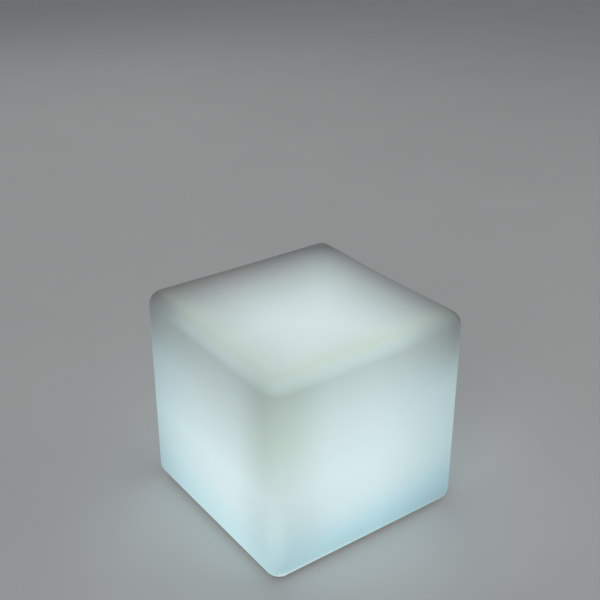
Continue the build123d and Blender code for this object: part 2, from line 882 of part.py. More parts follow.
def battery_leads():
    # each lies along its tag at +X, drops to the front and turns in to the middle plug
    tag_x = cell_reach + wire_radius + screw_gap
    plug_x = board_right + plug_out + wire_end_gap
    plug_y = header_ys()[1]
    near, far = cell_ys
    red = [
        (tag_x, near + 2.0, cell_z - 2.0),
        (tag_x + 0.5, near - 11.5, cell_z - 2.0),
        (tag_x - 0.5, near - 22.0, cell_z + 0.5),
        (plug_x + 12.5, plug_y + 7.0, header_z - 4.6),
        (plug_x + 6.0, plug_y + 0.2, header_z - 1.2),
        (plug_x, plug_y - wire_pitch / 2, header_z),
    ]
    black = [
        (tag_x, far + 2.0, cell_z + 2.0),
        (tag_x, near - 5.0, cell_z + 2.0),
        (tag_x - 0.5, near - 14.5, cell_z + 3.0),
        (plug_x + 13.0, plug_y + 10.5, header_z - 4.0),
        (plug_x + 5.5, plug_y + 3.0, header_z - 1.0),
        (plug_x, plug_y + wire_pitch / 2, header_z),
    ]
    return group([wire(red, wire_radius, "red battery lead"), wire(black, wire_radius, "black battery lead")])


def socket_leads():
    lug_x = socket_x - lug_thick / 2 - wire_end_gap
    plug_x = board_right + plug_out + wire_end_gap
    leads = []
    for side in (-1, 1):
        lug_y = socket_y + side * lug_spread / 2
        plug_y = header_ys()[2] + side * wire_pitch / 2
        spots = [
            (lug_x, lug_y, socket_high + lug_length / 2),
            (lug_x - 4.5, lug_y - 1.0, header_z - 0.6),
            (plug_x + 4.6, plug_y + 0.9, header_z),
            (plug_x, plug_y, header_z),
        ]
        leads.append(wire(spots, wire_radius, "socket lead"))
    return group(leads)


def led_plug():
    # the plug that brings the lead down on to the LED board
    return block(plug_side, plug_side, led_board_high, led_board_high + plug_rise, led_plug_x, led_plug_y)


def led_lead():
    # from the back plug, up through the hole in the spreader and over to the LED board's plug
    plug_x = board_right + plug_out + wire_end_gap
    plug_y = header_ys()[0]
    over = led_board_high + plug_rise
    spots = [
        (plug_x, plug_y, header_z),
        (plug_x + 6.5, plug_y + 0.5, header_z),
        (lead_hole_x, lead_hole_y - 0.5, spreader_low - 2.0),
        (lead_hole_x, lead_hole_y, over + 3.5),
        (lead_hole_x - 4.4, lead_hole_y + 1.3, over + 9.2),
        (led_plug_x + 4.9, led_plug_y - 1.5, over + 10.4),
        (led_plug_x, led_plug_y, over + 6.2),
        (led_plug_x, led_plug_y, over + wire_end_gap),
    ]
    return wire(spots, led_cable_radius, "led lead")


def all_parts():
    parts = {
        "cube_shell": cube_shell(),
        "lamp_inserts": lamp_inserts(),
        "foot_inserts": foot_inserts(),
        "foot_screws": foot_screws(),
        "flange_gasket": flange_gasket(),
        "flange_screws": flange_screws(),
        "lamp_housing": lamp_housing(),
        "power_button": power_button(),
        "button_seal": button_seal(),
        "button_clip": button_clip(),
        "switch_plunger": switch_plunger(),
        "push_switch": push_switch(),
        "charge_socket": charge_socket(),
        "socket_pin": socket_pin(),
        "socket_nut": socket_nut(),
        "socket_lugs": socket_lugs(),
        "socket_flap": socket_flap(),
        "flap_anchor": flap_anchor(),
        "anchor_screw": anchor_screw(),
        "indicator_lens": indicator_lens(),
        "battery_cell_front": battery_cell(cell_ys[0], 1),
        "battery_cell_back": battery_cell(cell_ys[1], -1),
        "cell_links": cell_links(),
        "battery_pad": battery_pad(),
        "battery_strap": battery_strap(),
        "strap_screws": strap_screws(),
        "control_board": control_board(),
        "board_screws": board_screws(),
        "board_chips": board_chips(),
        "board_capacitors": board_capacitors(),
        "board_coil": board_coil(),
        "lead_headers": lead_headers(),
        "lead_plugs": lead_plugs(),
        "battery_leads": battery_leads(),
        "socket_leads": socket_leads(),
        "led_lead": led_lead(),
        "led_plug": led_plug(),
        "heat_spreader": heat_spreader(),
        "led_board": led_board(),
        "led_board_screws": led_board_screws(),
        "led_chips": led_chips(),
        "remote_receiver": remote_receiver(),
        "dome_gasket": dome_gasket(),
        "lamp_dome": lamp_dome(),
        "dome_screws": dome_screws(),
    }
    for (x, y), place in zip(feet(), ("front_left", "back_left", "front_right", "back_right")):
        parts["rubber_foot_" + place] = rubber_foot(x, y)
    return parts


os.makedirs("parts", exist_ok=True)
for name, shape in all_parts().items():
    export_step(shape, "parts/" + name + ".step")
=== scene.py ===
import math

import bmesh
import bpy
from mathutils import Matrix, Vector


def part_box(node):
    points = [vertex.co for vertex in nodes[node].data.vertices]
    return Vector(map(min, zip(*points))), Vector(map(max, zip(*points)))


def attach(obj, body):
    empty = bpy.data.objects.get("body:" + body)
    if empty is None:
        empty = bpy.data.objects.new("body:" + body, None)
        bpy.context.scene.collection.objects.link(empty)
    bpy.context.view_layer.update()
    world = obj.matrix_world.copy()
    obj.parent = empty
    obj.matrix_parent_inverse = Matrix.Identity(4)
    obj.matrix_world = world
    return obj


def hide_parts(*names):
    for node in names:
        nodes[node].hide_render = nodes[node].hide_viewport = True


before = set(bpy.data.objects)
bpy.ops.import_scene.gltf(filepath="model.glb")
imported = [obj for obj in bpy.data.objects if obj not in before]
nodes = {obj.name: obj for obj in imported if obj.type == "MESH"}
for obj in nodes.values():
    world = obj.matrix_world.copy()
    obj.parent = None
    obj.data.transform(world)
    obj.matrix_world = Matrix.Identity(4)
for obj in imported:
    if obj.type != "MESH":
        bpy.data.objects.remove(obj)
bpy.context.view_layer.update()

mm = 0.001  # the frame is in metres, and the looks below are in millimetres
white = (1.0, 1.0, 1.0, 1.0)


# nodes, written short

def put(tree, kind, sockets=None, **settings):
    # one node; a socket's value is a number, a colour, another node's output or a Signal
    node = tree.nodes.new(kind)
    for name, value in settings.items():
        setattr(node, name, value)
    for name, value in (sockets or {}).items():
        feed(tree, value, node.inputs[name])
    return node


def feed(tree, value, socket):
    if isinstance(value, Signal):
        value = value.socket
    if isinstance(value, bpy.types.NodeSocket):
        tree.links.new(value, socket)
    else:
        socket.default_value = value


class Signal:
    # a value that changes over the surface, so that formulas can be written as formulas
    def __init__(self, tree, socket):
        self.tree = tree
        self.socket = socket

    def calc(self, operation, other=None, swapped=False):
        node = put(self.tree, "ShaderNodeMath", operation=operation)
        first, second = (other, self) if swapped else (self, other)
        feed(self.tree, first, node.inputs[0])
        if second is not None:
            feed(self.tree, second, node.inputs[1])
        return Signal(self.tree, node.outputs[0])

    def __neg__(self):
        return self.calc("SUBTRACT", 0.0, swapped=True)

    def __add__(self, other):
        return self.calc("ADD", other)

    def __radd__(self, other):
        return self.calc("ADD", other)

    def __sub__(self, other):
        return self.calc("SUBTRACT", other)

    def __rsub__(self, other):
        return self.calc("SUBTRACT", other, swapped=True)

    def __mul__(self, other):
        return self.calc("MULTIPLY", other)

    def __truediv__(self, other):
        return self.calc("DIVIDE", other)

    def __rtruediv__(self, other):
        return self.calc("DIVIDE", other, swapped=True)

    def __pow__(self, other):
        return self.calc("POWER", other)

    def absolute(self):
        return self.calc("ABSOLUTE")

    def larger(self, other):
        return self.calc("MAXIMUM", other)

    def smaller(self, other):
        return self.calc("MINIMUM", other)

    def positive(self):
        return self.larger(0.0)

    def ramp(self, start, end):
        # 0 at start, 1 at end, with soft ends
        sockets = {"Value": self, "From Min": start, "From Max": end}
        node = put(self.tree, "ShaderNodeMapRange", sockets, interpolation_type="SMOOTHSTEP")
        return Signal(self.tree, node.outputs["Result"])

    def mix(self, low, high):
        # low where this is 0, high where it is 1; both colours
        node = put(self.tree, "ShaderNodeMix", data_type="RGBA")
        feed(self.tree, self, node.inputs["Factor"])
        feed(self.tree, low, node.inputs[6])
        feed(self.tree, high, node.inputs[7])
        return node.outputs[2]


def startGroup(name, takes, gives):
    # a shader node group; takes and gives hold each socket's name and first value
    group = bpy.data.node_groups.new(name, "ShaderNodeTree")
    for side, sockets in (("INPUT", takes), ("OUTPUT", gives)):
        for label, value in sockets.items():
            kind = "NodeSocketColor" if isinstance(value, tuple) else "NodeSocketFloat"
            socket = group.interface.new_socket(label, in_out=side, socket_type=kind)
            if side == "INPUT":
                socket.default_value = value
    into = put(group, "NodeGroupInput").outputs
    given = {}
    for label, value in takes.items():
        given[label] = into[label] if isinstance(value, tuple) else Signal(group, into[label])
    return group, given


def closeGroup(group, values):
    out = put(group, "NodeGroupOutput").inputs
    for label, value in values.items():
        feed(group, value, out[label])
    return group


def use(tree, group, values):
    node = tree.nodes.new("ShaderNodeGroup")
    node.node_tree = group
    for label, value in values.items():
        feed(tree, value, node.inputs[label])
    return node.outputs


def axes(tree, vector):
    parts = put(tree, "ShaderNodeSeparateXYZ", {0: vector}).outputs
    return [Signal(tree, part) for part in parts]


def objectPlace(tree):
    return put(tree, "ShaderNodeTexCoord").outputs["Object"]


def objectNormal(tree):
    return put(tree, "ShaderNodeTexCoord").outputs["Normal"]


def noise(tree, place, size, detail=2.0, rough=0.5):
    # size is the width of its patches in millimetres
    sockets = {"Vector": place, "Scale": 1 / mm / size, "Detail": detail, "Roughness": rough}
    return Signal(tree, put(tree, "ShaderNodeTexNoise", sockets).outputs["Fac"])


def scaled(tree, colour, by):
    return put(tree, "ShaderNodeVectorMath", {0: colour, "Scale": by}, operation="SCALE").outputs[0]


def opaque(colour):
    return (*colour, 1.0)


# effects that the finishes share

# a patch, speck or smear is given as its size in millimetres, its detail and its roughness
grainLook = {"detail": 3.0, "rough": 0.6, "broadHeight": 0.3}
toolLook = {"stretch": (0.06, 1.0, 1.0), "smear": (3.0, 3.0, 0.5)}
wearLook = {"bend": (0.01, 0.16), "patch": (1.7, 3.0, 0.65), "broken": (0.36, 0.62), "polish": 0.12}
dustLook = {
    "colour": (0.42, 0.39, 0.34), "leastShare": 0.45, "rougher": 0.3,
    "patch": (9.0, 5.0, 0.62), "patchSpan": (0.42, 0.7), "patchShare": 0.7,
    "speck": (0.5, 2.0, 0.5), "speckSpan": (0.6, 0.72), "speckShare": 0.5,
}


def makeMouldedGrain():
    # the fine skin of a moulding, with broad, faint changes of tone
    takes = {"Colour": white, "Spread": 0.06, "Grain": 0.6, "Patch": 14.0, "Roughness": 0.5, "Uneven": 0.1}
    gives = {"Colour": white, "Roughness": 0.0, "Height": 0.0}
    group, given = startGroup("mouldedGrain", takes, gives)
    place = objectPlace(group)
    fine = noise(group, place, given["Grain"], grainLook["detail"], grainLook["rough"])
    broad = noise(group, place, given["Patch"])
    tone = 1.0 + (broad - 0.5) * 2.0 * given["Spread"] + (fine - 0.5) * given["Spread"]
    return closeGroup(group, {
        "Colour": scaled(group, given["Colour"], tone),
        "Roughness": given["Roughness"] + (fine + broad - 1.0) * given["Uneven"],
        "Height": fine + broad * grainLook["broadHeight"],
    })


def makeToolMarks():
    # fine lines along the piece's X axis, left by drawing, brushing or turning
    takes = {"Colour": white, "Pitch": 0.12, "Spread": 0.08, "Roughness": 0.35, "Uneven": 0.12}
    gives = {"Colour": white, "Roughness": 0.0, "Height": 0.0}
    group, given = startGroup("toolMarks", takes, gives)
    place = objectPlace(group)
    drawn = put(group, "ShaderNodeVectorMath", {0: place, 1: toolLook["stretch"]}, operation="MULTIPLY")
    lines = noise(group, drawn.outputs[0], given["Pitch"])
    smear = noise(group, place, *toolLook["smear"])
    tone = 1.0 + (lines - 0.5) * given["Spread"] + (smear - 0.5) * given["Spread"]
    return closeGroup(group, {
        "Colour": scaled(group, given["Colour"], tone),
        "Roughness": given["Roughness"] + (lines + smear - 1.0) * given["Uneven"],
        "Height": lines,
    })


def makeEdgeWear():
    # lighter, rubbed material where an edge is sharp and hands or tools reach it
    takes = {"Colour": white, "Worn Colour": white, "Width": 0.3, "Amount": 0.5, "Roughness": 0.5}
    group, given = startGroup("edgeWear", takes, {"Colour": white, "Roughness": 0.0})
    plain = put(group, "ShaderNodeNewGeometry").outputs["Normal"]
    rounded = put(group, "ShaderNodeBevel", {"Radius": given["Width"] * mm}, samples=4).outputs["Normal"]
    facing = put(group, "ShaderNodeVectorMath", {0: plain, 1: rounded}, operation="DOT_PRODUCT")
    bend = 1.0 - Signal(group, facing.outputs["Value"])
    patch = noise(group, objectPlace(group), *wearLook["patch"])
    mask = bend.ramp(*wearLook["bend"]) * patch.ramp(*wearLook["broken"]) * given["Amount"]
    return closeGroup(group, {
        "Colour": mask.mix(given["Colour"], given["Worn Colour"]),
        "Roughness": given["Roughness"] - mask * wearLook["polish"],
    })


def makeSettledDust():
    # pale dust in patches, more on what faces up
    takes = {"Colour": white, "Amount": 0.2, "Roughness": 0.5}
    group, given = startGroup("settledDust", takes, {"Colour": white, "Roughness": 0.0})
    up = axes(group, objectNormal(group))[2].positive()
    place = objectPlace(group)
    patch = noise(group, place, *dustLook["patch"]).ramp(*dustLook["patchSpan"])
    speck = noise(group, place, *dustLook["speck"]).ramp(*dustLook["speckSpan"])
    least = dustLook["leastShare"]
    mask = (patch * dustLook["patchShare"] + speck * dustLook["speckShare"]) * (least + up * (1.0 - least))
    mask = mask * given["Amount"]
    return closeGroup(group, {
        "Colour": mask.mix(given["Colour"], opaque(dustLook["colour"])),
        "Roughness": given["Roughness"] + mask * dustLook["rougher"],
    })


mouldedGrain = makeMouldedGrain()
toolMarks = makeToolMarks()
edgeWear = makeEdgeWear()
settledDust = makeSettledDust()
print("shared effects built")


# materials

plainLook = {
    "spread": 0.06, "grain": 0.6, "patch": 14.0, "lines": 0.0, "roughness": 0.5, "uneven": 0.1,
    "relief": 0.01, "worn": None, "wearWidth": 0.3, "wear": 0.0, "dust": 0.0, "metal": 0.0,
    "coat": 0.0, "specular": 0.5, "glow": 0.0, "index": 1.49,
}


def startMaterial(name):
    material = bpy.data.materials.new(name)
    material.use_nodes = True
    material.node_tree.nodes.clear()
    return material, material.node_tree


def closeMaterial(material, sockets):
    tree = material.node_tree
    shader = put(tree, "ShaderNodeBsdfPrincipled", sockets)
    put(tree, "ShaderNodeOutputMaterial", {"Surface": shader.outputs[0]})
    return material


def bumped(tree, height, relief):
    # relief is the depth of the pattern in millimetres
    sockets = {"Strength": 1.0, "Distance": relief * mm, "Height": height}
    return put(tree, "ShaderNodeBump", sockets).outputs[0]


def skinOf(tree, look):
    # the moulded or drawn skin that every finish starts from
    skin = {"Colour": opaque(look["colour"]), "Spread": look["spread"]}
    skin.update({"Roughness": look["roughness"], "Uneven": look["uneven"]})
    if look["lines"]:
        return use(tree, toolMarks, dict(skin, Pitch=look["lines"]))
    return use(tree, mouldedGrain, dict(skin, Grain=look["grain"], Patch=look["patch"]))


def solidFinish(name, look):
    # any opaque finish: its skin, then wear along the edges, then dust
    look = dict(plainLook, **look)
    material, tree = startMaterial(name)
    surface = skinOf(tree, look)
    colour, rough, height = surface["Colour"], surface["Roughness"], surface["Height"]
    if look["wear"]:
        values = {"Colour": colour, "Worn Colour": opaque(look["worn"]), "Width": look["wearWidth"]}
        worn = use(tree, edgeWear, dict(values, Amount=look["wear"], Roughness=rough))
        colour, rough = worn["Colour"], worn["Roughness"]
    if look["dust"]:
        dusty = use(tree, settledDust, {"Colour": colour, "Amount": look["dust"], "Roughness": rough})
        colour, rough = dusty["Colour"], dusty["Roughness"]
    sockets = {
        "Base Color": colour,
        "Roughness": rough,
        "Metallic": look["metal"],
        "Coat Weight": look["coat"],
        "Specular IOR Level": look["specular"],
        "Emission Strength": look["glow"],
        "Normal": bumped(tree, height, look["relief"]),
    }
    if look["glow"]:
        sockets["Emission Color"] = colour
    return closeMaterial(material, sockets)


def clearFinish(name, look):
    # clear or frosted plastic; a lower clear is milkier
    look = dict(plainLook, **look)
    material, tree = startMaterial(name)
    surface = skinOf(tree, look)
    return closeMaterial(material, {
        "Base Color": surface["Colour"],
        "Roughness": surface["Roughness"],
        "Transmission Weight": look["clear"],
        "IOR": look["index"],
        "Normal": bumped(tree, surface["Height"], look["relief"]),
    })


def dress(material, names):
    # a CAD node keeps its mesh and takes the material in its slots
    for name in names:
        slots = nodes[name].material_slots
        if not slots:
            nodes[name].data.materials.append(material)
        for slot in slots:
            slot.material = material


# the lit cube

cubeLook = {
    "shell": {"colour": (0.366, 0.379, 0.370), "spread": 0.02, "grain": 0.9, "patch": 45.0,
              "roughness": 0.42, "uneven": 0.05, "relief": 0.02, "specular": 0.35},
    # the top's pool of light lies near the front left, is squarer than a circle and dimmer at the back left
    "top": {"pool": (-26.0, -87.0), "left": 400.0, "right": 272.0, "front": 360.0, "back": 331.0,
            "level": 0.735, "loss": 1.2, "square": 8.0, "power": 1.79, "backLeftDip": 0.09},
    # on a side, Pool is its height; light falls off above and below it, and along the face from Middle on
    "right": {"Pool": 178.0, "Level": 0.777, "Upper Loss": 0.29, "Upper Power": 1.65, "Lower Loss": 0.22,
              "Lower Power": 2.5, "Middle": 190.0, "Far Loss": 0.36, "Far Power": 1.36, "Corner Loss": 0.40,
              "Corner Power": 1.63, "Near Loss": 0.066, "Near Rise": 0.12, "Low Dip": 0.065},
    "left": {"Pool": 165.0, "Level": 0.791, "Upper Loss": 0.42, "Upper Power": 1.06, "Lower Loss": 0.055,
             "Lower Power": 2.7, "Middle": 100.0, "Far Loss": 0.16, "Far Power": 2.6, "Corner Loss": 0.17,
             "Corner Power": 1.5, "Near Loss": 0.122, "Near Rise": 0.0, "Low Dip": 0.045},
    # the far faces are brightest in the middle; their light comes in sooner on the top's far edges
    "far": {"cornerLoss": 0.26, "narrower": 1.1, "dimmer": 0.32, "sooner": 0.14},
    "upperRound": 26.0, "lowerRound": 30.0,  # the sides' light is measured to where the edge rounds start
    "faceReach": 220.0,  # from Middle to the far edge of a side
    "paintedEdgeHighlight": 0.09,  # painted highlight: how much brighter the upper near rounds are than the faces that they join
    # the bottom glows less than the sides, and less again in the well; its darker rim is painted shade where
    # the cube meets the floor
    "under": {"paintedShadeRim": 0.08, "middle": 0.33, "well": 0.30},
    "wellGap": 4.4, "wellEdge": (7.0, -1.0),  # from the flange to the well's mouth, and round that mouth
    "studioShare": {"side": 0.139, "top": 0.146, "floor": 0.035},  # what the studio light and the floor add
    "least": 0.01,  # no place is quite dark
    "mottle": {"size": 60.0, "detail": 3.0, "amount": 0.03},
    # cool white in the pools, grey green in the creases, bluish to the lower and outer edges
    "hues": {
        "core": (0.85, 1.035, 1.04), "sideCore": (0.83, 1.04, 1.06), "band": (0.80, 1.05, 1.04),
        "crease": (0.80, 1.065, 0.95), "topCrease": (0.84, 1.05, 0.94), "outer": (0.72, 1.07, 1.15),
        "frontLow": (0.74, 1.06, 1.09), "low": (0.62, 1.08, 1.22), "lowOuter": (0.58, 1.085, 1.30),
        "topEdge": (0.95, 1.02, 0.93), "topEdgeRight": (0.89, 1.03, 0.99),
    },
    # how strong two of the hues are, and how much less bluish it is in the middle of the far faces,
    # on the left face and in the well
    "hueShares": {"outer": 0.8, "frontLow": 0.8, "farLess": 0.8, "leftLess": 0.45, "wellLess": 0.6},
    # where each change starts and where it is complete: places in millimetres, and turns of the surface
    "spans": {
        "cornerHeight": (250.0, 370.0), "nearEdge": (120.0, 20.0),
        "dipAlong": (150.0, 60.0), "dipStart": (8.0, 35.0),
        "dipHeight": (180.0, 110.0), "dipFoot": (30.0, 70.0),
        "backLeftX": (-60.0, -140.0), "backLeftY": (-60.0, 20.0),
        "farUpper": (0.15, 0.65), "farTurn": (0.28, 0.60), "paintedHighlightAlong": (345.0, 235.0),
        "underInset": (12.0, 52.0), "underTurn": (-0.58, -0.92), "wellHeight": (60.0, 40.0),
        "upward": (0.3, 0.9), "creaseAlong": (120.0, 10.0), "creaseHeight": (150.0, 280.0),
        "topCreaseX": (-110.0, -200.0), "topCreaseY": (-120.0, -200.0),
        "topEdge": (0.25, 0.9), "topRight": (0.0, 130.0), "farMiddle": (50.0, 190.0), "farHue": (0.2, 0.8),
        "outerAlong": (180.0, 420.0), "bandHeight": (280.0, 350.0),
        "frontLowAlong": (130.0, 10.0), "frontLowHeight": (180.0, 90.0), "lowHeight": (130.0, 25.0),
        "lowOuterHeight": (130.0, 20.0), "lowOuterAlong": (160.0, 420.0), "floorLight": (140.0, 20.0),
    },
}
bodyLow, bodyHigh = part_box("cube_shell")
cubeHalf = bodyHigh.x / mm
cubeLow, cubeHigh = bodyLow.z / mm, bodyHigh.z / mm
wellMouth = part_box("lamp_housing")[1].x / mm + cubeLook["wellGap"]


def over(signal, span):
    return signal.ramp(*cubeLook["spans"][span])


def makeSidePool():
    # brightness of one side face; Along is the distance from the near edge, Height is above the ground
    takes = dict(cubeLook["right"], Along=0.0, Height=0.0)
    group, given = startGroup("sidePool", takes, {"Glow": 0.0})
    along, height, pool = given["Along"], given["Height"], given["Pool"]
    above = ((height - pool) / (cubeHigh - cubeLook["upperRound"] - pool)).positive()
    below = ((pool - height) / (pool - cubeLow - cubeLook["lowerRound"])).positive()
    upperLoss = given["Upper Loss"] * above ** given["Upper Power"]
    lowerLoss = given["Lower Loss"] * below ** given["Lower Power"]
    far = ((along - given["Middle"]) / cubeLook["faceReach"]).positive()
    farLoss = far ** given["Far Power"] * given["Far Loss"]
    cornerLoss = over(height, "cornerHeight") * far ** given["Corner Power"] * given["Corner Loss"]
    nearLoss = over(along, "nearEdge") * (given["Near Loss"] + height / cubeHigh * given["Near Rise"])
    dip = over(along, "dipAlong") * over(along, "dipStart")
    dip = dip * over(height, "dipHeight") * over(height, "dipFoot")
    across = 1.0 - farLoss - cornerLoss - nearLoss - dip * given["Low Dip"]
    return closeGroup(group, {"Glow": (1.0 - upperLoss - lowerLoss) * across * given["Level"]})


def topGlow(x, y):
    # brightness of the top face, and how far each place is from its pool
    look = cubeLook["top"]
    poolX, poolY = look["pool"]
    reachX = (x - poolX).positive() / look["right"] + (poolX - x).positive() / look["left"]
    reachY = (y - poolY).positive() / look["back"] + (poolY - y).positive() / look["front"]
    spread = (reachX ** look["square"] + reachY ** look["square"]) ** (look["power"] / look["square"])
    level = (1.0 - spread * look["loss"]).positive() * look["level"]
    dip = over(x, "backLeftX") * over(y, "backLeftY") * look["backLeftDip"]
    return level * (1.0 - dip), spread


def wallLevel(group, place, normal, top, inWell):
    # brightness all over, joined round the edges by the surface's direction
    x, y, z = place
    nx, ny, nz = normal
    sidePool = makeSidePool()

    def side(along, values):
        return Signal(group, use(group, sidePool, dict(values, Along=along, Height=z))["Glow"])

    right, left, far = cubeLook["right"], cubeLook["left"], cubeLook["far"]
    rightSide = side(x + cubeHalf, right)
    leftSide = side(y + cubeHalf, left)
    up, nxSquare, nySquare = nz.positive() ** 2.0, nx ** 2.0, ny ** 2.0
    whole = up + nxSquare + nySquare + 0.0001  # never 0, also where the surface faces straight down
    glow = (up * top + nySquare * rightSide + nxSquare * leftSide) / whole
    halfway = nz.positive() * (1.0 - nz.positive()) * 4.0  # 1 halfway round an upper edge, 0 on the faces
    # painted highlight: the upper rounds near the front left corner are made brighter than the faces that
    # they join
    paintedHighlight = halfway * cubeLook["paintedEdgeHighlight"]
    glow = glow + paintedHighlight * over((x + cubeHalf) + (y + cubeHalf), "paintedHighlightAlong")
    farValues = dict(right, **{"Corner Loss": far["cornerLoss"]})
    dimmer = 1.0 - over(nz, "farUpper") * far["dimmer"]
    sooner = nz.positive() * far["sooner"]
    for across, turn in ((x, ny), (y, nx)):
        level = side(across.absolute() * far["narrower"] + right["Middle"], farValues) * dimmer
        glow = glow + (level - glow) * over(turn + sooner, "farTurn")
    inset = cubeHalf - x.absolute().larger(y.absolute())
    under = cubeLook["under"]
    # painted shade: the bottom's glow falls to a dark rim at its edges, where the cube meets the floor
    below = under["paintedShadeRim"] + over(inset, "underInset") * (under["middle"] - under["paintedShadeRim"])
    glow = glow + (below - glow) * over(nz, "underTurn")
    return glow * (1.0 - inWell * under["well"])


def wallHue(place, normal, spread, inWell):
    x, y, z = place
    nx, ny, nz = normal
    hues = {name: opaque(hue) for name, hue in cubeLook["hues"].items()}
    share = cubeLook["hueShares"]
    upright = 1.0 - over(nz.absolute(), "upward")
    upward = over(nz, "upward")
    along = (x + cubeHalf) + (y + cubeHalf)
    colour = upright.mix(hues["core"], hues["sideCore"])
    topEdge = over(x, "topRight").mix(hues["topEdge"], hues["topEdgeRight"])
    colour = (over(spread, "topEdge") * upward).mix(colour, topEdge)
    topCrease = over(x, "topCreaseX").larger(over(y, "topCreaseY")) * upward
    colour = topCrease.mix(colour, hues["topCrease"])
    farMiddle = 1.0 - over(x.absolute().smaller(y.absolute()), "farMiddle")
    bluish = 1.0 - over(nx.larger(ny), "farHue") * farMiddle * share["farLess"]
    outer = over(along, "outerAlong") * upright * bluish * share["outer"]
    colour = outer.mix(colour, hues["outer"])
    colour = (over(z, "bandHeight") * upright).mix(colour, hues["band"])
    crease = over(along, "creaseAlong") * over(z, "creaseHeight") * upright
    colour = crease.mix(colour, hues["crease"])
    frontLow = over(along, "frontLowAlong") * over(z, "frontLowHeight") * upright * share["frontLow"]
    colour = frontLow.mix(colour, hues["frontLow"])
    lowShare = (1.0 - (-nx).positive() * share["leftLess"]) * (1.0 - inWell * share["wellLess"])
    colour = (over(z, "lowHeight") * lowShare * upright).mix(colour, hues["low"])
    lowOuter = over(z, "lowOuterHeight") * over(x + cubeHalf, "lowOuterAlong") * upright * bluish
    return lowOuter.mix(colour, hues["lowOuter"])


def makeWallGlow():
    # light that comes through the even wall, less what the studio adds
    takes = {"Side Share": 0.1, "Top Share": 0.1, "Floor Share": 0.0}
    group, given = startGroup("wallGlow", takes, {"Colour": white})
    place = [part / mm for part in axes(group, objectPlace(group))]
    normal = axes(group, objectNormal(group))
    x, y, z = place
    top, spread = topGlow(x, y)
    outside, inside = [wellMouth + step for step in cubeLook["wellEdge"]]
    inWell = (x ** 2.0 + y ** 2.0).calc("SQRT").ramp(outside, inside) * over(z, "wellHeight")
    glow = wallLevel(group, place, normal, top, inWell)
    up = normal[2].positive() ** 2.0
    share = given["Side Share"] + up * (given["Top Share"] - given["Side Share"])
    share = share + over(z, "floorLight") * given["Floor Share"]
    mottle = cubeLook["mottle"]
    patches = noise(group, objectPlace(group), mottle["size"], mottle["detail"]) - 0.5
    level = (glow - share) * (1.0 + patches * mottle["amount"])
    colour = wallHue(place, normal, spread, inWell)
    return closeGroup(group, {"Colour": scaled(group, colour, level.larger(cubeLook["least"]))})


def glowFinish(name):
    look = dict(plainLook, **cubeLook["shell"])
    material, tree = startMaterial(name)
    surface = skinOf(tree, look)
    share = cubeLook["studioShare"]
    values = {"Side Share": share["side"], "Top Share": share["top"], "Floor Share": share["floor"]}
    return closeMaterial(material, {
        "Base Color": surface["Colour"],
        "Roughness": surface["Roughness"],
        "Specular IOR Level": look["specular"],
        "Emission Color": use(tree, makeWallGlow(), values)["Colour"],
        "Emission Strength": 1.0,
        "Normal": bumped(tree, surface["Height"], look["relief"]),
    })


dress(glowFinish("litPolyethylene"), ["cube_shell"])
print("lit cube done")


# the finishes of everything but the cube's shell, each with the CAD nodes that take it

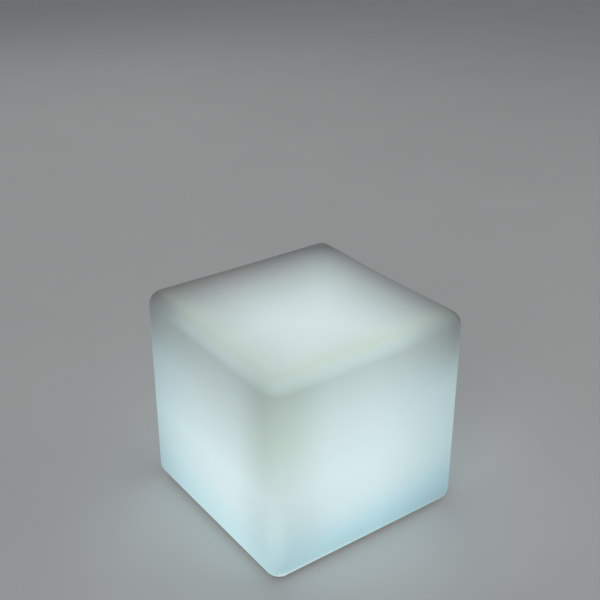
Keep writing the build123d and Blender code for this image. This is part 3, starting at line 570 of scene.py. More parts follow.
finishes = {
    "housingPlastic": {
        "nodes": ["lamp_housing"], "colour": (0.70, 0.71, 0.70), "roughness": 0.46, "relief": 0.03,
        "grain": 0.8, "wear": 0.5, "worn": (0.86, 0.87, 0.86), "wearWidth": 0.6, "dust": 0.18},
    "buttonPlastic": {
        "nodes": ["power_button"], "colour": (0.055, 0.058, 0.062), "roughness": 0.4, "relief": 0.02,
        "grain": 0.4, "wear": 0.6, "worn": (0.17, 0.17, 0.17), "wearWidth": 0.5, "dust": 0.1},
    "footRubber": {
        "nodes": [name for name in nodes if name.startswith("rubber_foot")],
        "colour": (0.030, 0.030, 0.032), "spread": 0.16, "roughness": 0.78, "relief": 0.06,
        "grain": 0.7, "wear": 0.8, "worn": (0.12, 0.115, 0.11), "wearWidth": 1.2, "dust": 0.55},
    "sealRubber": {
        "nodes": ["flange_gasket", "button_seal", "dome_gasket"], "colour": (0.045, 0.045, 0.047),
        "spread": 0.1, "roughness": 0.66, "relief": 0.02, "grain": 0.5},
    "flapRubber": {
        "nodes": ["socket_flap", "flap_anchor"], "colour": (0.040, 0.040, 0.042), "roughness": 0.6,
        "relief": 0.03, "grain": 0.5, "wear": 0.6, "worn": (0.13, 0.13, 0.13), "wearWidth": 0.5,
        "dust": 0.25},
    "stainlessSteel": {
        "nodes": ["foot_screws", "flange_screws", "anchor_screw", "button_clip"],
        "colour": (0.60, 0.59, 0.57), "metal": 1.0, "roughness": 0.3, "lines": 0.1, "relief": 0.006,
        "wear": 0.5, "worn": (0.80, 0.79, 0.77), "wearWidth": 0.15},
    "zincSteel": {
        "nodes": ["strap_screws", "board_screws", "led_board_screws", "dome_screws"],
        "colour": (0.56, 0.58, 0.62), "metal": 1.0, "roughness": 0.36, "lines": 0.15, "relief": 0.005,
        "wear": 0.5, "worn": (0.75, 0.76, 0.78), "wearWidth": 0.12},
    "insertBrass": {
        "nodes": ["lamp_inserts", "foot_inserts"], "colour": (0.66, 0.46, 0.19), "spread": 0.14,
        "metal": 1.0, "roughness": 0.34, "lines": 0.2, "relief": 0.01},
    "socketBlack": {
        "nodes": ["charge_socket"], "colour": (0.018, 0.018, 0.02), "roughness": 0.32, "relief": 0.008,
        "grain": 0.3, "wear": 0.5, "worn": (0.09, 0.09, 0.09), "wearWidth": 0.25},
    "contactNickel": {
        "nodes": ["socket_pin", "socket_nut", "socket_lugs", "cell_links"],
        "colour": (0.72, 0.69, 0.63), "metal": 1.0, "roughness": 0.2, "lines": 0.08, "relief": 0.003,
        "wear": 0.4, "worn": (0.85, 0.80, 0.70), "wearWidth": 0.1},
    "switchBlack": {
        "nodes": ["push_switch"], "colour": (0.022, 0.022, 0.024), "roughness": 0.5, "relief": 0.01,
        "grain": 0.3, "wear": 0.4, "worn": (0.08, 0.08, 0.08), "wearWidth": 0.2},
    "plungerRed": {
        "nodes": ["switch_plunger"], "colour": (0.50, 0.035, 0.025), "roughness": 0.36, "relief": 0.006,
        "grain": 0.3, "coat": 0.2},
    "lensMilky": {
        "nodes": ["indicator_lens"], "colour": (0.80, 0.84, 0.82), "spread": 0.03, "roughness": 0.16,
        "uneven": 0.06, "relief": 0.002, "grain": 0.4, "clear": 0.35},
    "cellSleeve": {
        "nodes": ["battery_cell_front", "battery_cell_back"], "colour": (0.03, 0.13, 0.36),
        "roughness": 0.24, "relief": 0.012, "grain": 2.5, "patch": 9.0, "coat": 0.5,
        "wear": 0.3, "worn": (0.12, 0.24, 0.46), "wearWidth": 0.3},
    "strapPlastic": {
        "nodes": ["battery_strap"], "colour": (0.60, 0.60, 0.57), "roughness": 0.5, "relief": 0.02,
        "grain": 0.7, "wear": 0.3, "worn": (0.75, 0.75, 0.72), "wearWidth": 0.3},
    "padFoam": {
        "nodes": ["battery_pad"], "colour": (0.05, 0.05, 0.052), "spread": 0.3, "roughness": 0.92,
        "relief": 0.12, "grain": 0.35},
    "boardGreen": {
        "nodes": ["control_board"], "colour": (0.012, 0.11, 0.045), "roughness": 0.3, "relief": 0.008,
        "grain": 0.5, "coat": 0.4, "wear": 0.8, "worn": (0.32, 0.30, 0.16), "wearWidth": 0.15},
    "chipBlack": {
        "nodes": ["board_chips", "remote_receiver"], "colour": (0.014, 0.014, 0.015), "roughness": 0.55,
        "relief": 0.01, "grain": 0.15, "wear": 0.4, "worn": (0.06, 0.06, 0.06), "wearWidth": 0.12},
    "capacitorSleeve": {
        "nodes": ["board_capacitors"], "colour": (0.015, 0.02, 0.07), "roughness": 0.26, "relief": 0.006,
        "grain": 1.2, "coat": 0.4},
    "coilFerrite": {
        "nodes": ["board_coil"], "colour": (0.05, 0.047, 0.045), "spread": 0.2, "roughness": 0.6,
        "relief": 0.02, "grain": 0.25},
    "connectorNylon": {
        "nodes": ["lead_headers", "lead_plugs", "led_plug"], "colour": (0.72, 0.69, 0.58),
        "roughness": 0.42, "relief": 0.01, "grain": 0.5, "wear": 0.3, "worn": (0.85, 0.83, 0.74),
        "wearWidth": 0.15},
    "leadRed": {
        "nodes": ["battery_leads", "socket_leads"], "colour": (0.36, 0.02, 0.018), "roughness": 0.42,
        "relief": 0.008, "grain": 0.8, "coat": 0.1},
    "jacketGrey": {
        "nodes": ["led_lead"], "colour": (0.48, 0.48, 0.45), "roughness": 0.45, "relief": 0.01,
        "grain": 0.8, "coat": 0.1},
    "spreaderAluminium": {
        "nodes": ["heat_spreader"], "colour": (0.70, 0.71, 0.72), "metal": 1.0, "roughness": 0.34,
        "uneven": 0.18, "lines": 0.18, "relief": 0.008, "wear": 0.4, "worn": (0.85, 0.85, 0.86),
        "wearWidth": 0.2},
    "ledBoardWhite": {
        "nodes": ["led_board"], "colour": (0.80, 0.80, 0.77), "roughness": 0.34, "relief": 0.006,
        "grain": 0.6, "coat": 0.3, "wear": 0.5, "worn": (0.55, 0.50, 0.36), "wearWidth": 0.15},
    "ledPackage": {
        "nodes": ["led_chips"], "colour": (0.86, 0.86, 0.83), "roughness": 0.4, "relief": 0.005,
        "grain": 0.3},
    "domeFrosted": {
        "nodes": ["lamp_dome"], "colour": (0.95, 0.97, 0.96), "spread": 0.03, "roughness": 0.22,
        "uneven": 0.06, "relief": 0.01, "grain": 0.5, "clear": 1.0},
}

materials = {}
for name, look in finishes.items():
    makeFinish = clearFinish if "clear" in look else solidFinish
    materials[name] = makeFinish(name, look)
    dress(materials[name], look["nodes"])
print("finishes done")


# how the pieces are made

weldGap = 0.002  # corners of a CAD mesh that are nearer than this are one
wireTip = 0.55  # what is left of a wire's radius at its ends


def meshObject(name, shape):
    mesh = bpy.data.meshes.new(name)
    shape.to_mesh(mesh)
    shape.free()
    thing = bpy.data.objects.new(name, mesh)
    bpy.context.scene.collection.objects.link(thing)
    return thing


def keepPiece(name, shape, material, body, slot, *replaced, crease=35.0):
    # the finished piece, smooth but for its edges; replaced are the nodes that it stands for
    for face in shape.faces:
        face.smooth = True
    bmesh.ops.recalc_face_normals(shape, faces=shape.faces)
    piece = meshObject(name, shape)
    piece.data.set_sharp_from_angle(angle=math.radians(crease))
    piece.data.materials.append(material)
    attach(piece, body)
    if replaced:
        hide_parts(*replaced)


def addRings(shape, rings, closed=False):
    # skin over rings of points; unless the last joins the first, the ends are capped
    rows = [[shape.verts.new(Vector(point) * mm) for point in ring] for ring in rings]
    pairs = list(zip(rows, rows[1:])) + ([(rows[-1], rows[0])] if closed else [])
    for near, far in pairs:
        for k in range(len(near)):
            n = (k + 1) % len(near)
            shape.faces.new((near[k], near[n], far[n], far[k]))
    if not closed:
        shape.faces.new(rows[0])
        shape.faces.new(rows[-1])


def addTurned(shape, profile, place, count, tilt=None, wave=None, closed=False):
    # (radius, height) points turned round an upright axis at place
    # tilt lays the axis over, and wave moves a point out by its angle and height
    rings = []
    for radius, height in profile:
        ring = []
        for k in range(count):
            angle = 2 * math.pi * k / count
            out = radius + (wave(angle, height) if wave else 0.0)
            point = Vector((out * math.cos(angle), out * math.sin(angle), height))
            ring.append(Vector(place) + (tilt @ point if tilt else point))
        rings.append(ring)
    addRings(shape, rings, closed)


def addTube(shape, points, radius, sides=10):
    # a round wire or bead along points, with its ends drawn in
    points = [Vector(point) for point in points]
    steps = [(b - a).normalized() for a, b in zip(points, points[1:])]
    ways = [steps[0]] + [(a + b).normalized() for a, b in zip(steps, steps[1:])] + [steps[-1]]
    turns = [2 * math.pi * n / sides for n in range(sides)]
    across = ways[0].orthogonal().normalized()
    rings = []
    for k, (point, way) in enumerate(zip(points, ways)):
        across = (across - way * across.dot(way)).normalized()
        other = way.cross(across)
        size = radius * (wireTip if k in (0, len(points) - 1) else 1.0)
        rings.append([point + (across * math.cos(t) + other * math.sin(t)) * size for t in turns])
    addRings(shape, rings)


def addBlock(shape, size, place, turned, bevel):
    # a small block with its edges taken off
    made = bmesh.ops.create_cube(shape, size=1.0)["verts"]
    where = Matrix.Translation(Vector(place) * mm) @ Matrix.Rotation(math.radians(turned), 4, "Z")
    bmesh.ops.transform(shape, matrix=where @ Matrix.Diagonal([*(Vector(size) * mm), 1.0]), verts=made)
    edges = list(dict.fromkeys(edge for vert in made for edge in vert.link_edges))
    bmesh.ops.bevel(shape, geom=edges, offset=bevel * mm, segments=2, profile=0.5, affect="EDGES")


def cutAway(shape, tool):
    # shape without tool
    whole, cutter = meshObject("cutWhole", shape), meshObject("cutTool", tool)
    cutting = whole.modifiers.new("cut", "BOOLEAN")
    cutting.operation, cutting.solver, cutting.object = "DIFFERENCE", "EXACT", cutter
    left = bmesh.new()
    left.from_mesh(whole.evaluated_get(bpy.context.evaluated_depsgraph_get()).to_mesh())
    for thing in (whole, cutter):
        bpy.data.objects.remove(thing)
    return left


def boxOf(solid):
    points = solid[0]
    lowest = Vector([min(point[k] for point in points) for k in range(3)])
    highest = Vector([max(point[k] for point in points) for k in range(3)])
    return lowest, highest


def solidsIn(name):
    # the loose solids of a CAD node, as points in millimetres and faces, ordered by where they are
    whole = bmesh.new()
    whole.from_mesh(nodes[name].data)
    bmesh.ops.remove_doubles(whole, verts=whole.verts, dist=weldGap * mm)
    whole.verts.ensure_lookup_table()
    solids, seen = [], set()
    for start in whole.verts:
        if start.index in seen:
            continue
        seen.add(start.index)
        found, ahead = [start], [start]
        while ahead:
            for edge in ahead.pop().link_edges:
                for vert in edge.verts:
                    if vert.index not in seen:
                        seen.add(vert.index)
                        found.append(vert)
                        ahead.append(vert)
        order = {vert.index: k for k, vert in enumerate(found)}
        faces = {face for vert in found for face in vert.link_faces}
        rings = [tuple(order[vert.index] for vert in face.verts) for face in faces]
        solids.append(([vert.co / mm for vert in found], sorted(rings)))
    whole.free()
    return sorted(solids, key=lambda solid: tuple(round(c, 1) for c in boxOf(solid)[0]))


# screws

screwForm = {
    # what all screws share; their radii, widths and heights are shares of a screw's own sizes
    "sides": 28, "ringsPerTurn": 6,
    "neck": 0.6,  # of the pitch, plain below the head
    "flank": 0.8,  # under 1, so the thread's crests are narrower than its roots
    "tip": (0.72, 0.4),  # its radius, and its length in millimetres
    "brim": (0.97, 0.08),  # radius and height of the head's lower edge
    "dome": (0.5, 0.45), "domeAngles": (0, 18, 36, 54, 72, 84),  # from this radius and height, in degrees
    "flat": 0.3,  # radius of the flat on top
    "recess": ((0.55, 0.24), (1.0, 0.56)),  # the cross's width and reach at its floor and above the head
    "above": 0.2,  # millimetres by which the cross's cutter stands out of the head
    "spin": 0.83,  # radians from one screw to the next
}
smallScrew = {
    # sizes in millimetres; cut is the depth of the thread, grip the share of the head that the recess takes
    "shank": 1.4, "head": 1.7, "pitch": 0.95, "cut": 0.28, "recess": 0.7, "grip": 0.58,
    "down": False, "finish": "zincSteel", "slot": "zinc_steel",
}
outerScrew = dict(smallScrew, down=True, finish="stainlessSteel", slot="stainless_steel")
screwLooks = {
    "foot_screws": dict(outerScrew, shank=2.5, head=3.0, pitch=0.8, cut=0.36, recess=1.1, grip=0.56),
    "flange_screws": dict(outerScrew, shank=2.0, head=2.6, pitch=0.7, cut=0.32, recess=1.0, grip=0.56),
    "anchor_screw": outerScrew,
    "dome_screws": smallScrew,
    "led_board_screws": dict(smallScrew, pitch=0.7, cut=0.22),
    "board_screws": smallScrew,
    "strap_screws": smallScrew,
}


def screwProfile(radius, tip, neck, look):
    shank, head = look["shank"], look["head"]
    tipShare, tipLength = screwForm["tip"]
    brimRadius, brimHeight = screwForm["brim"]
    domeRadius, domeHeight = screwForm["dome"]
    threaded = neck - tip - tipLength
    steps = round(threaded / (look["pitch"] / screwForm["ringsPerTurn"]))
    profile = [(shank * tipShare, tip)]
    profile += [(shank, tip + tipLength + threaded * k / steps) for k in range(steps + 1)]
    profile += [(shank, 0.0), (radius * brimRadius, 0.0), (radius, head * brimHeight)]
    for angle in screwForm["domeAngles"]:
        across, up = math.cos(math.radians(angle)), math.sin(math.radians(angle))
        out = radius * domeRadius + radius * (1 - domeRadius) * across
        profile.append((out, head * domeHeight + head * (1 - domeHeight) * up))
    return profile + [(radius * screwForm["flat"], head)]


def makeScrew(radius, length, look):
    # head up, its seat at 0: a thread cut into the shank, a domed head and a cross recess
    head, pitch = look["head"], look["pitch"]
    tip, neck = -length, -pitch * screwForm["neck"]

    def thread(angle, height):
        if not tip < height < neck:
            return 0.0
        turnShare = (height / pitch - angle / (2 * math.pi)) % 1.0
        fading = min(1.0, (neck - height) / pitch)
        return -look["cut"] * abs(turnShare * 2 - 1) ** screwForm["flank"] * fading

    shape = bmesh.new()
    addTurned(shape, screwProfile(radius, tip, neck, look), (0, 0, 0), screwForm["sides"], wave=thread)
    bmesh.ops.recalc_face_normals(shape, faces=shape.faces)
    heights = (head * (1 - look["grip"]), head + screwForm["above"])
    for quarter in (0.0, 90.0):
        bar = bmesh.new()
        spin = Matrix.Rotation(math.radians(quarter), 3, "Z")
        rings = []
        for height, (width, reach) in zip(heights, screwForm["recess"]):
            w, r = look["recess"] / 2 * width, radius * reach
            corners = ((-w, -r), (w, -r), (w, r), (-w, r))
            rings.append([spin @ Vector((x, y, height)) for x, y in corners])
        addRings(bar, rings)
        bmesh.ops.recalc_face_normals(bar, faces=bar.faces)
        shape = cutAway(shape, bar)
    return shape


def makeScrews(name, look):
    # one screw is shaped, and a copy of it is seated in each place that the CAD node gives
    head, down = look["head"], look["down"]
    boxes = [boxOf(solid) for solid in solidsIn(name)]
    lowest, highest = boxes[0]
    one = makeScrew((highest.x - lowest.x) / 2, highest.z - lowest.z - head, look)
    pattern = meshObject("screwPattern", one)
    flip = Matrix.Rotation(math.pi, 4, "X") if down else Matrix.Identity(4)
    every = bmesh.new()
    for k, (lowest, highest) in enumerate(boxes):
        seat = (lowest + highest) / 2
        seat.z = lowest.z + head if down else highest.z - head
        before = len(every.verts)
        every.from_mesh(pattern.data)
        every.verts.ensure_lookup_table()
        turned = Matrix.Rotation(k * screwForm["spin"], 4, "Z")
        where = Matrix.Translation(seat * mm) @ turned @ flip
        bmesh.ops.transform(every, matrix=where, verts=every.verts[before:])
    bpy.data.objects.remove(pattern)
    piece = name.replace("_", "") + "Threaded"
    keepPiece(piece, every, materials[look["finish"]], "root", look["slot"], name)


for name, look in screwLooks.items():
    makeScrews(name, look)
print("screws done")


# button and flap

symbolLook = {
    "radius": 2.5, "bead": 0.26, "gap": 70.0, "bar": (0.3, 3.1), "ringSteps": 40, "barSteps": 6,
    "capCrown": 0.3, "capRadius": 5.4,  # how far the cap's middle stands out, and over which radius
    "paint": {"colour": (0.62, 0.63, 0.62), "roughness": 0.5, "relief": 0.01, "grain": 0.3,
              "wear": 0.7, "worn": (0.20, 0.20, 0.20), "wearWidth": 0.12},
}
ribLook = {"count": 4, "pitch": 0.62, "bead": 0.22, "length": 4.6, "fromEdge": 0.45, "sunk": 0.02, "steps": 8}


def makePowerSymbol():
    # a plain on and off sign moulded on the cap and filled with pale paint
    lowest, highest = [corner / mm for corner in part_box("power_button")]
    middle = (lowest + highest) / 2
    slope = symbolLook["capCrown"] / symbolLook["capRadius"]

    def onCap(x, y):
        return (middle.x + x, middle.y + y, lowest.z + math.hypot(x, y) * slope)

    shape = bmesh.new()
    radius, gap, bead = symbolLook["radius"], symbolLook["gap"], symbolLook["bead"]
    steps = symbolLook["ringSteps"]
    angles = [math.radians(90 + gap / 2 + (360 - gap) * k / steps) for k in range(steps + 1)]
    addTube(shape, [onCap(radius * math.cos(a), radius * math.sin(a)) for a in angles], bead)
    near, far = symbolLook["bar"]
    steps = symbolLook["barSteps"]
    addTube(shape, [onCap(0, near + (far - near) * k / steps) for k in range(steps + 1)], bead)
    paint = solidFinish("symbolPaint", symbolLook["paint"])
    keepPiece("powerSymbol", shape, paint, "power_button", "button_plastic")


def makeGripRibs():
    # low ribs across the flap's lip, for a fingernail
    lowest, highest = [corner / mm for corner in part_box("socket_flap")]
    length, steps = ribLook["length"], ribLook["steps"]
    start = (lowest.y + highest.y) / 2 - length / 2
    shape = bmesh.new()
    for k in range(ribLook["count"]):
        x = highest.x - ribLook["fromEdge"] - k * ribLook["pitch"]
        z = lowest.z + ribLook["sunk"]
        addTube(shape, [(x, start + length * n / steps, z) for n in range(steps + 1)], ribLook["bead"])
    keepPiece("flapGripRibs", shape, materials["flapRubber"], "socket_flap", "flap_rubber")


makePowerSymbol()
makeGripRibs()
print("button and flap done")


# battery

cellLook = {
    "sides": 48, "straightSteps": 12, "steelRadius": 6.7, "round": 0.9, "roundAngles": (90, 67, 45, 22, 0),
    "crimpFrom": 3.4, "crimpWidth": 1.7, "crimpDepth": 0.55, "crimpSteps": (-1, -0.6, -0.2, 0.2, 0.6, 1),
    "fold": 0.02,  # how far the sleeve's edges turn in along the steel, and the play between the two
    "canDepth": 1.0, "sunk": 0.01,  # the steel that shows at each end
    "cap": 2.9, "capSides": 40, "capHeight": 0.8, "capRoot": 0.5, "capSearch": 0.05,
    "capEdge": ((0.0, 0.3), (0.1, 0.08), (0.35, 0.0)),  # in from its rim and down from its top
    "ringGap": (0.35, 0.3),  # from the cap and from the edge of the can
    "ringHeights": (-0.3, 0.12),  # from the end of the can
    "paper": {"colour": (0.86, 0.85, 0.80), "roughness": 0.8, "relief": 0.01, "grain": 0.4},
}
blackLead = dict(finishes["leadRed"], colour=(0.02, 0.02, 0.022))


def sleeveProfile(radius, start, end):
    # from one end of the can to the other, with the rolled groove near the cap
    steel, bend, fold = cellLook["steelRadius"], cellLook["round"], cellLook["fold"]
    wide, deep = cellLook["crimpWidth"] / 2, cellLook["crimpDepth"]
    groove = end - cellLook["crimpFrom"]
    arc = [math.radians(angle) for angle in cellLook["roundAngles"]]
    profile = [(steel, start + fold), (steel, start)]
    profile += [(radius - bend + bend * math.cos(a), start + bend - bend * math.sin(a)) for a in arc]
    steps = cellLook["straightSteps"]
    profile += [(radius, start + (groove - wide - start) * k / steps) for k in range(2, steps)]
    for t in cellLook["crimpSteps"]:
        profile.append((radius - deep * (0.5 + 0.5 * math.cos(math.pi * t)), groove + wide * t))
    profile += [(radius - bend + bend * math.cos(a), end - bend + bend * math.sin(a)) for a in reversed(arc)]
    return profile + [(steel, end), (steel, end - fold)]


def makeCells():
    # a shrunk sleeve over a steel can, bare steel at both ends and a pale ring under the cap
    sleeves, cans, rings = bmesh.new(), bmesh.new(), bmesh.new()
    sides, sunk, depth = cellLook["sides"], cellLook["sunk"], cellLook["canDepth"]
    steel, cap = cellLook["steelRadius"] - cellLook["fold"], cellLook["cap"]
    inner, outer = cap + cellLook["ringGap"][0], steel - cellLook["ringGap"][1]
    cells = ("battery_cell_front", "battery_cell_back")
    for name in cells:
        solid = solidsIn(name)[0]
        lowest, highest = boxOf(solid)
        middle = (lowest + highest) / 2
        radius = (highest.z - lowest.z) / 2
        rightEnd = [point for point in solid[0] if point.x > highest.x - cellLook["capSearch"]]
        reach = max(math.hypot(point.y - middle.y, point.z - middle.z) for point in rightEnd)
        capIsRight = reach < radius / 2
        tilt = Matrix.Rotation(math.radians(90 if capIsRight else -90), 3, "Y")
        start = -(highest.x - lowest.x) / 2
        end = -start - cellLook["capHeight"]
        top = end + cellLook["capHeight"]
        addTurned(sleeves, sleeveProfile(radius, start, end), middle, sides, tilt)
        for near, far in ((start + sunk, start + depth), (end - depth + sunk, end - sunk)):
            addTurned(cans, [(steel, near), (steel, far)], middle, sides, tilt)
        capProfile = [(cap, end - cellLook["capRoot"])]
        capProfile += [(cap - inward, top - down) for inward, down in cellLook["capEdge"]]
        addTurned(cans, capProfile, middle, cellLook["capSides"], tilt)
        low, high = [end + height for height in cellLook["ringHeights"]]
        ringProfile = [(inner, low), (outer, low), (outer, high), (inner, high)]
        addTurned(rings, ringProfile, middle, sides, tilt, closed=True)
    keepPiece("cellSleeves", sleeves, materials["cellSleeve"], "root", "cell_sleeve", *cells)
    keepPiece("cellSteelEnds", cans, materials["zincSteel"], "root", "cell_sleeve")
    keepPiece("cellRings", rings, solidFinish("ringPaper", cellLook["paper"]), "root", "cell_sleeve")


def makeLeads():
    # each pair is one red and one black lead
    colours = {"Red": materials["leadRed"], "Black": solidFinish("leadBlack", blackLead)}
    for name in ("battery_leads", "socket_leads"):
        for (colour, material), (points, faces) in zip(colours.items(), solidsIn(name)):
            shape = bmesh.new()
            verts = [shape.verts.new(point * mm) for point in points]
            for ring in faces:
                shape.faces.new([verts[k] for k in ring])
            piece = name.split("_")[0] + "Lead" + colour
            keepPiece(piece, shape, material, "root", "lead_insulation", name, crease=40.0)


makeCells()
makeLeads()
print("battery and leads done")


# LED board and control board

windowLook = {
    "radius": 1.95, "rise": 0.16, "sunk": 0.3, "proud": 0.02, "sides": 24,
    "domeAngles": (0.4, 0.8, 1.15, 1.4),
    "phosphor": {"colour": (0.95, 0.86, 0.52), "roughness": 0.3, "relief": 0.01, "grain": 0.15, "glow": 1.3},
}
windingLook = {
    "wire": 0.26, "sides": 8, "layer": 4.1, "flange": 1.0, "stepsPerTurn": 28,
    "enamel": {"colour": (0.52, 0.17, 0.06), "spread": 0.12, "metal": 0.75, "roughness": 0.26,
               "relief": 0.004, "grain": 0.4, "coat": 0.6},
}
smallPartLook = {
    # resistors, and a capacitor for every third; a row starts so far from the board's front left corner
    "size": (1.6, 0.85, 0.5), "end": 0.3, "endOver": 0.04, "bodyEdge": 0.04, "endEdge": 0.06,
    "rows": [
        {"start": (7.9, 4.3), "step": (7.5, 0.0), "count": 4, "turned": 90},
        {"start": (11.9, 4.3), "step": (7.5, 0.0), "count": 4, "turned": 90},
        {"start": (19.6, 16.6), "step": (0.0, 2.2), "count": 3, "turned": 0},
        {"start": (3.9, 24.4), "step": (0.0, 2.2), "count": 3, "turned": 0},
        {"start": (35.8, 14.6), "step": (0.0, 2.4), "count": 7, "turned": 0},
    ],
    "ceramic": {"colour": (0.42, 0.27, 0.14), "roughness": 0.5, "relief": 0.006, "grain": 0.2},
    "tin": {"colour": (0.72, 0.72, 0.71), "metal": 1.0, "roughness": 0.28, "relief": 0.006, "grain": 0.2},
}
legLook = {
    # the rows of legs go by a chip's width, rounded up; those of the wider one stand in front and behind
    "rows": {
        5: {"count": 4, "pitch": 1.27, "reach": 2.3, "across": True},
        9: {"count": 7, "pitch": 1.1, "reach": 3.25, "across": False},
    },
    "wire": 0.13, "sides": 6, "root": 0.1, "shoulder": 0.15, "knee": 0.25, "foot": 0.45,
    "footHeight": 0.16, "slack": 0.1,
}


def makeLedWindows():
    # the domed yellow filling of each LED, which glows white
    shape = bmesh.new()
    radius, proud = windowLook["radius"], windowLook["proud"]
    profile = [(radius, -windowLook["sunk"]), (radius, proud)]
    for angle in windowLook["domeAngles"]:
        profile.append((radius * math.cos(angle), windowLook["rise"] * math.sin(angle) + proud))
    for solid in solidsIn("led_chips"):
        lowest, highest = boxOf(solid)
        middle = (lowest + highest) / 2
        addTurned(shape, profile, (middle.x, middle.y, highest.z), windowLook["sides"])
    phosphor = solidFinish("ledPhosphor", windowLook["phosphor"])
    keepPiece("ledWindows", shape, phosphor, "root", "led_package")


def makeWinding():
    # one layer of enamelled wire on the bobbin
    lowest, highest = [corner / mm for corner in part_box("board_coil")]
    middle = (lowest + highest) / 2
    wire, layer, flange = windingLook["wire"], windingLook["layer"], windingLook["flange"]
    start, end = lowest.z + flange + wire, highest.z - flange - wire
    turns = (end - start) / (2 * wire)
    steps = round(turns * windingLook["stepsPerTurn"])
    points = []
    for k in range(steps + 1):
        angle = 2 * math.pi * turns * k / steps
        x, y = middle.x + layer * math.cos(angle), middle.y + layer * math.sin(angle)
        points.append((x, y, start + (end - start) * k / steps))
    shape = bmesh.new()
    addTube(shape, points, wire, windingLook["sides"])
    enamel = solidFinish("enamelledCopper", windingLook["enamel"])
    keepPiece("coilWinding", shape, enamel, "root", "coil_copper", crease=60.0)


def addSmallPart(bodies, tinned, place, turned):
    # a resistor or a capacitor with its two tinned ends
    length, width, height = smallPartLook["size"]
    end, over = smallPartLook["end"], smallPartLook["endOver"]
    addBlock(bodies, (length - 2 * end, width, height), place, turned, smallPartLook["bodyEdge"])
    way = Vector((math.cos(math.radians(turned)), math.sin(math.radians(turned)), 0))
    for side in (-1, 1):
        spot = place + way * side * (length - end) / 2
        addBlock(tinned, (end, width + over, height + over), spot, turned, smallPartLook["endEdge"])


def addLegs(tinned, lowest, highest, row):
    # bent legs on two sides of a chip that lies between lowest and highest
    size, middle = highest - lowest, (lowest + highest) / 2
    drop = Vector((0, 0, size.z * 0.5 - legLook["footHeight"]))
    for k in range(row["count"]):
        along = (k - (row["count"] - 1) / 2) * row["pitch"]
        for side in (-1, 1):
            away = side * row["reach"]
            x, y = (away, along) if row["across"] else (along, away)
            outward = Vector((side, 0, 0)) if row["across"] else Vector((0, side, 0))
            root = Vector((middle.x + x, middle.y + y, lowest.z + size.z * 0.5))
            knee = root + outward * legLook["knee"] - drop
            path = [root - outward * legLook["root"], root + outward * legLook["shoulder"]]
            path += [knee, knee + outward * legLook["foot"]]
            addTube(tinned, path, legLook["wire"], legLook["sides"])


def makeSmallParts():
    # resistors and capacitors, and the legs of the drivers and the controller
    corner, boardTop = [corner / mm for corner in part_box("control_board")]
    height = smallPartLook["size"][2]
    slack = legLook["slack"]
    ceramics, resistors, tinned = bmesh.new(), bmesh.new(), bmesh.new()
    count = 0
    for row in smallPartLook["rows"]:
        startX, startY = row["start"]
        stepX, stepY = row["step"]
        for k in range(row["count"]):
            x, y = corner.x + startX + stepX * k, corner.y + startY + stepY * k
            bodies = ceramics if count % 3 == 0 else resistors
            addSmallPart(bodies, tinned, Vector((x, y, boardTop.z + height / 2)), row["turned"])
            count += 1
    for solid in solidsIn("board_chips"):
        lowest, highest = boxOf(solid)
        size = highest - lowest
        row = legLook["rows"].get(math.ceil(size.x - slack))
        isSquare, isBelow = abs(size.x - size.y) < slack, lowest.z < boardTop.z - slack
        if row and not isSquare and not isBelow:
            addLegs(tinned, lowest, highest, row)
    ceramic = solidFinish("ceramicTan", smallPartLook["ceramic"])
    tin = solidFinish("tinnedEnds", smallPartLook["tin"])
    keepPiece("smallCapacitors", ceramics, ceramic, "root", "chip_black")
    keepPiece("smallResistors", resistors, materials["chipBlack"], "root", "chip_black")
    keepPiece("tinnedEnds", tinned, tin, "root", "contact_metal")


makeLedWindows()
makeWinding()
makeSmallParts()
print("boards done")


# floor, light and camera

stageLook = {
    "floorSize": 60.0,
    "paint": {"colour": (0.80, 0.795, 0.785), "spread": 0.03, "grain": 2.0, "patch": 300.0,
              "roughness": 0.55, "uneven": 0.05, "specular": 0.25},
    "air": (0.93, 0.97, 1.0), "airStrength": 0.19,
}
lightLooks = {
    # square lights, in metres and watts
    "keyLight": {"place": (-2.6, -2.4, 3.0), "aim": (0, 0, 0.2), "side": 2.6, "watts": 34.0},
    "fillLight": {"place": (2.8, -1.2, 2.2), "aim": (0, 0, 0.2), "side": 2.6, "watts": 12.0},
    "backLight": {"place": (0.8, 3.0, 2.6), "aim": (0, 0, 0.2), "side": 2.4, "watts": 12.0},
    "underLight": {"place": (0.3, -0.3, -2.0), "aim": (0, 0, 0.0), "side": 1.0, "watts": 14.0},
}
cameraLook = {
    # in metres, degrees and, for the lens and the sensor, millimetres; fitted to the photograph
    "place": (-0.9003, -1.2354, 1.1578), "turn": (63.388, 0.0, -35.948), "lens": 60.0, "sensor": 36.0,
    "nearest": 0.01, "farthest": 200.0,
}


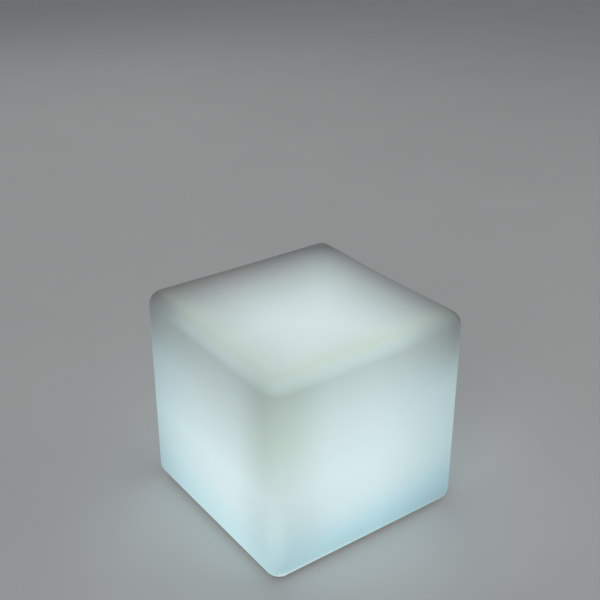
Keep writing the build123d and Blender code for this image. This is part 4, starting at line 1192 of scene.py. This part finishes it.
def makeFloor():
    # pale and plain; it isn't there for what looks up from below it
    mesh = bpy.data.meshes.new("floor")
    s = stageLook["floorSize"] / 2
    mesh.from_pydata([(-s, -s, 0), (s, -s, 0), (s, s, 0), (-s, s, 0)], [], [(0, 1, 2, 3)])
    floor = bpy.data.objects.new("floor", mesh)
    bpy.context.scene.collection.objects.link(floor)
    material, tree = startMaterial("paleFloor")
    look = dict(plainLook, **stageLook["paint"])
    surface = skinOf(tree, look)
    paint = put(tree, "ShaderNodeBsdfPrincipled", {
        "Base Color": surface["Colour"],
        "Roughness": surface["Roughness"],
        "Specular IOR Level": look["specular"],
    }).outputs[0]
    clear = put(tree, "ShaderNodeBsdfTransparent").outputs[0]
    behind = Signal(tree, put(tree, "ShaderNodeNewGeometry").outputs["Backfacing"])
    shadow = Signal(tree, put(tree, "ShaderNodeLightPath").outputs["Is Shadow Ray"])
    mixed = put(tree, "ShaderNodeMixShader", {0: behind.larger(shadow), 1: paint, 2: clear})
    put(tree, "ShaderNodeOutputMaterial", {"Surface": mixed.outputs[0]})
    mesh.materials.append(material)


def makeLights():
    world = bpy.data.worlds.new("studio")
    bpy.context.scene.world = world
    world.use_nodes = True
    world.node_tree.nodes.clear()
    sockets = {"Color": opaque(stageLook["air"]), "Strength": stageLook["airStrength"]}
    air = put(world.node_tree, "ShaderNodeBackground", sockets)
    put(world.node_tree, "ShaderNodeOutputWorld", {"Surface": air.outputs[0]})
    for name, look in lightLooks.items():
        data = bpy.data.lights.new(name, "AREA")
        data.shape = "SQUARE"
        data.size = look["side"]
        data.energy = look["watts"]
        light = bpy.data.objects.new(name, data)
        light.location = look["place"]
        facing = Vector(look["aim"]) - Vector(look["place"])
        light.rotation_euler = facing.to_track_quat("-Z", "Y").to_euler()
        bpy.context.scene.collection.objects.link(light)


def makeCamera():
    data = bpy.data.cameras.new("photoCamera")
    data.lens = cameraLook["lens"]
    data.sensor_width = cameraLook["sensor"]
    data.clip_start = cameraLook["nearest"]
    data.clip_end = cameraLook["farthest"]
    camera = bpy.data.objects.new("photoCamera", data)
    camera.location = cameraLook["place"]
    camera.rotation_euler = [math.radians(angle) for angle in cameraLook["turn"]]
    bpy.context.scene.collection.objects.link(camera)
    bpy.context.scene.camera = camera
    bpy.context.scene.view_settings.view_transform = "Standard"


makeFloor()
makeLights()
makeCamera()
print("floor, light and camera done")
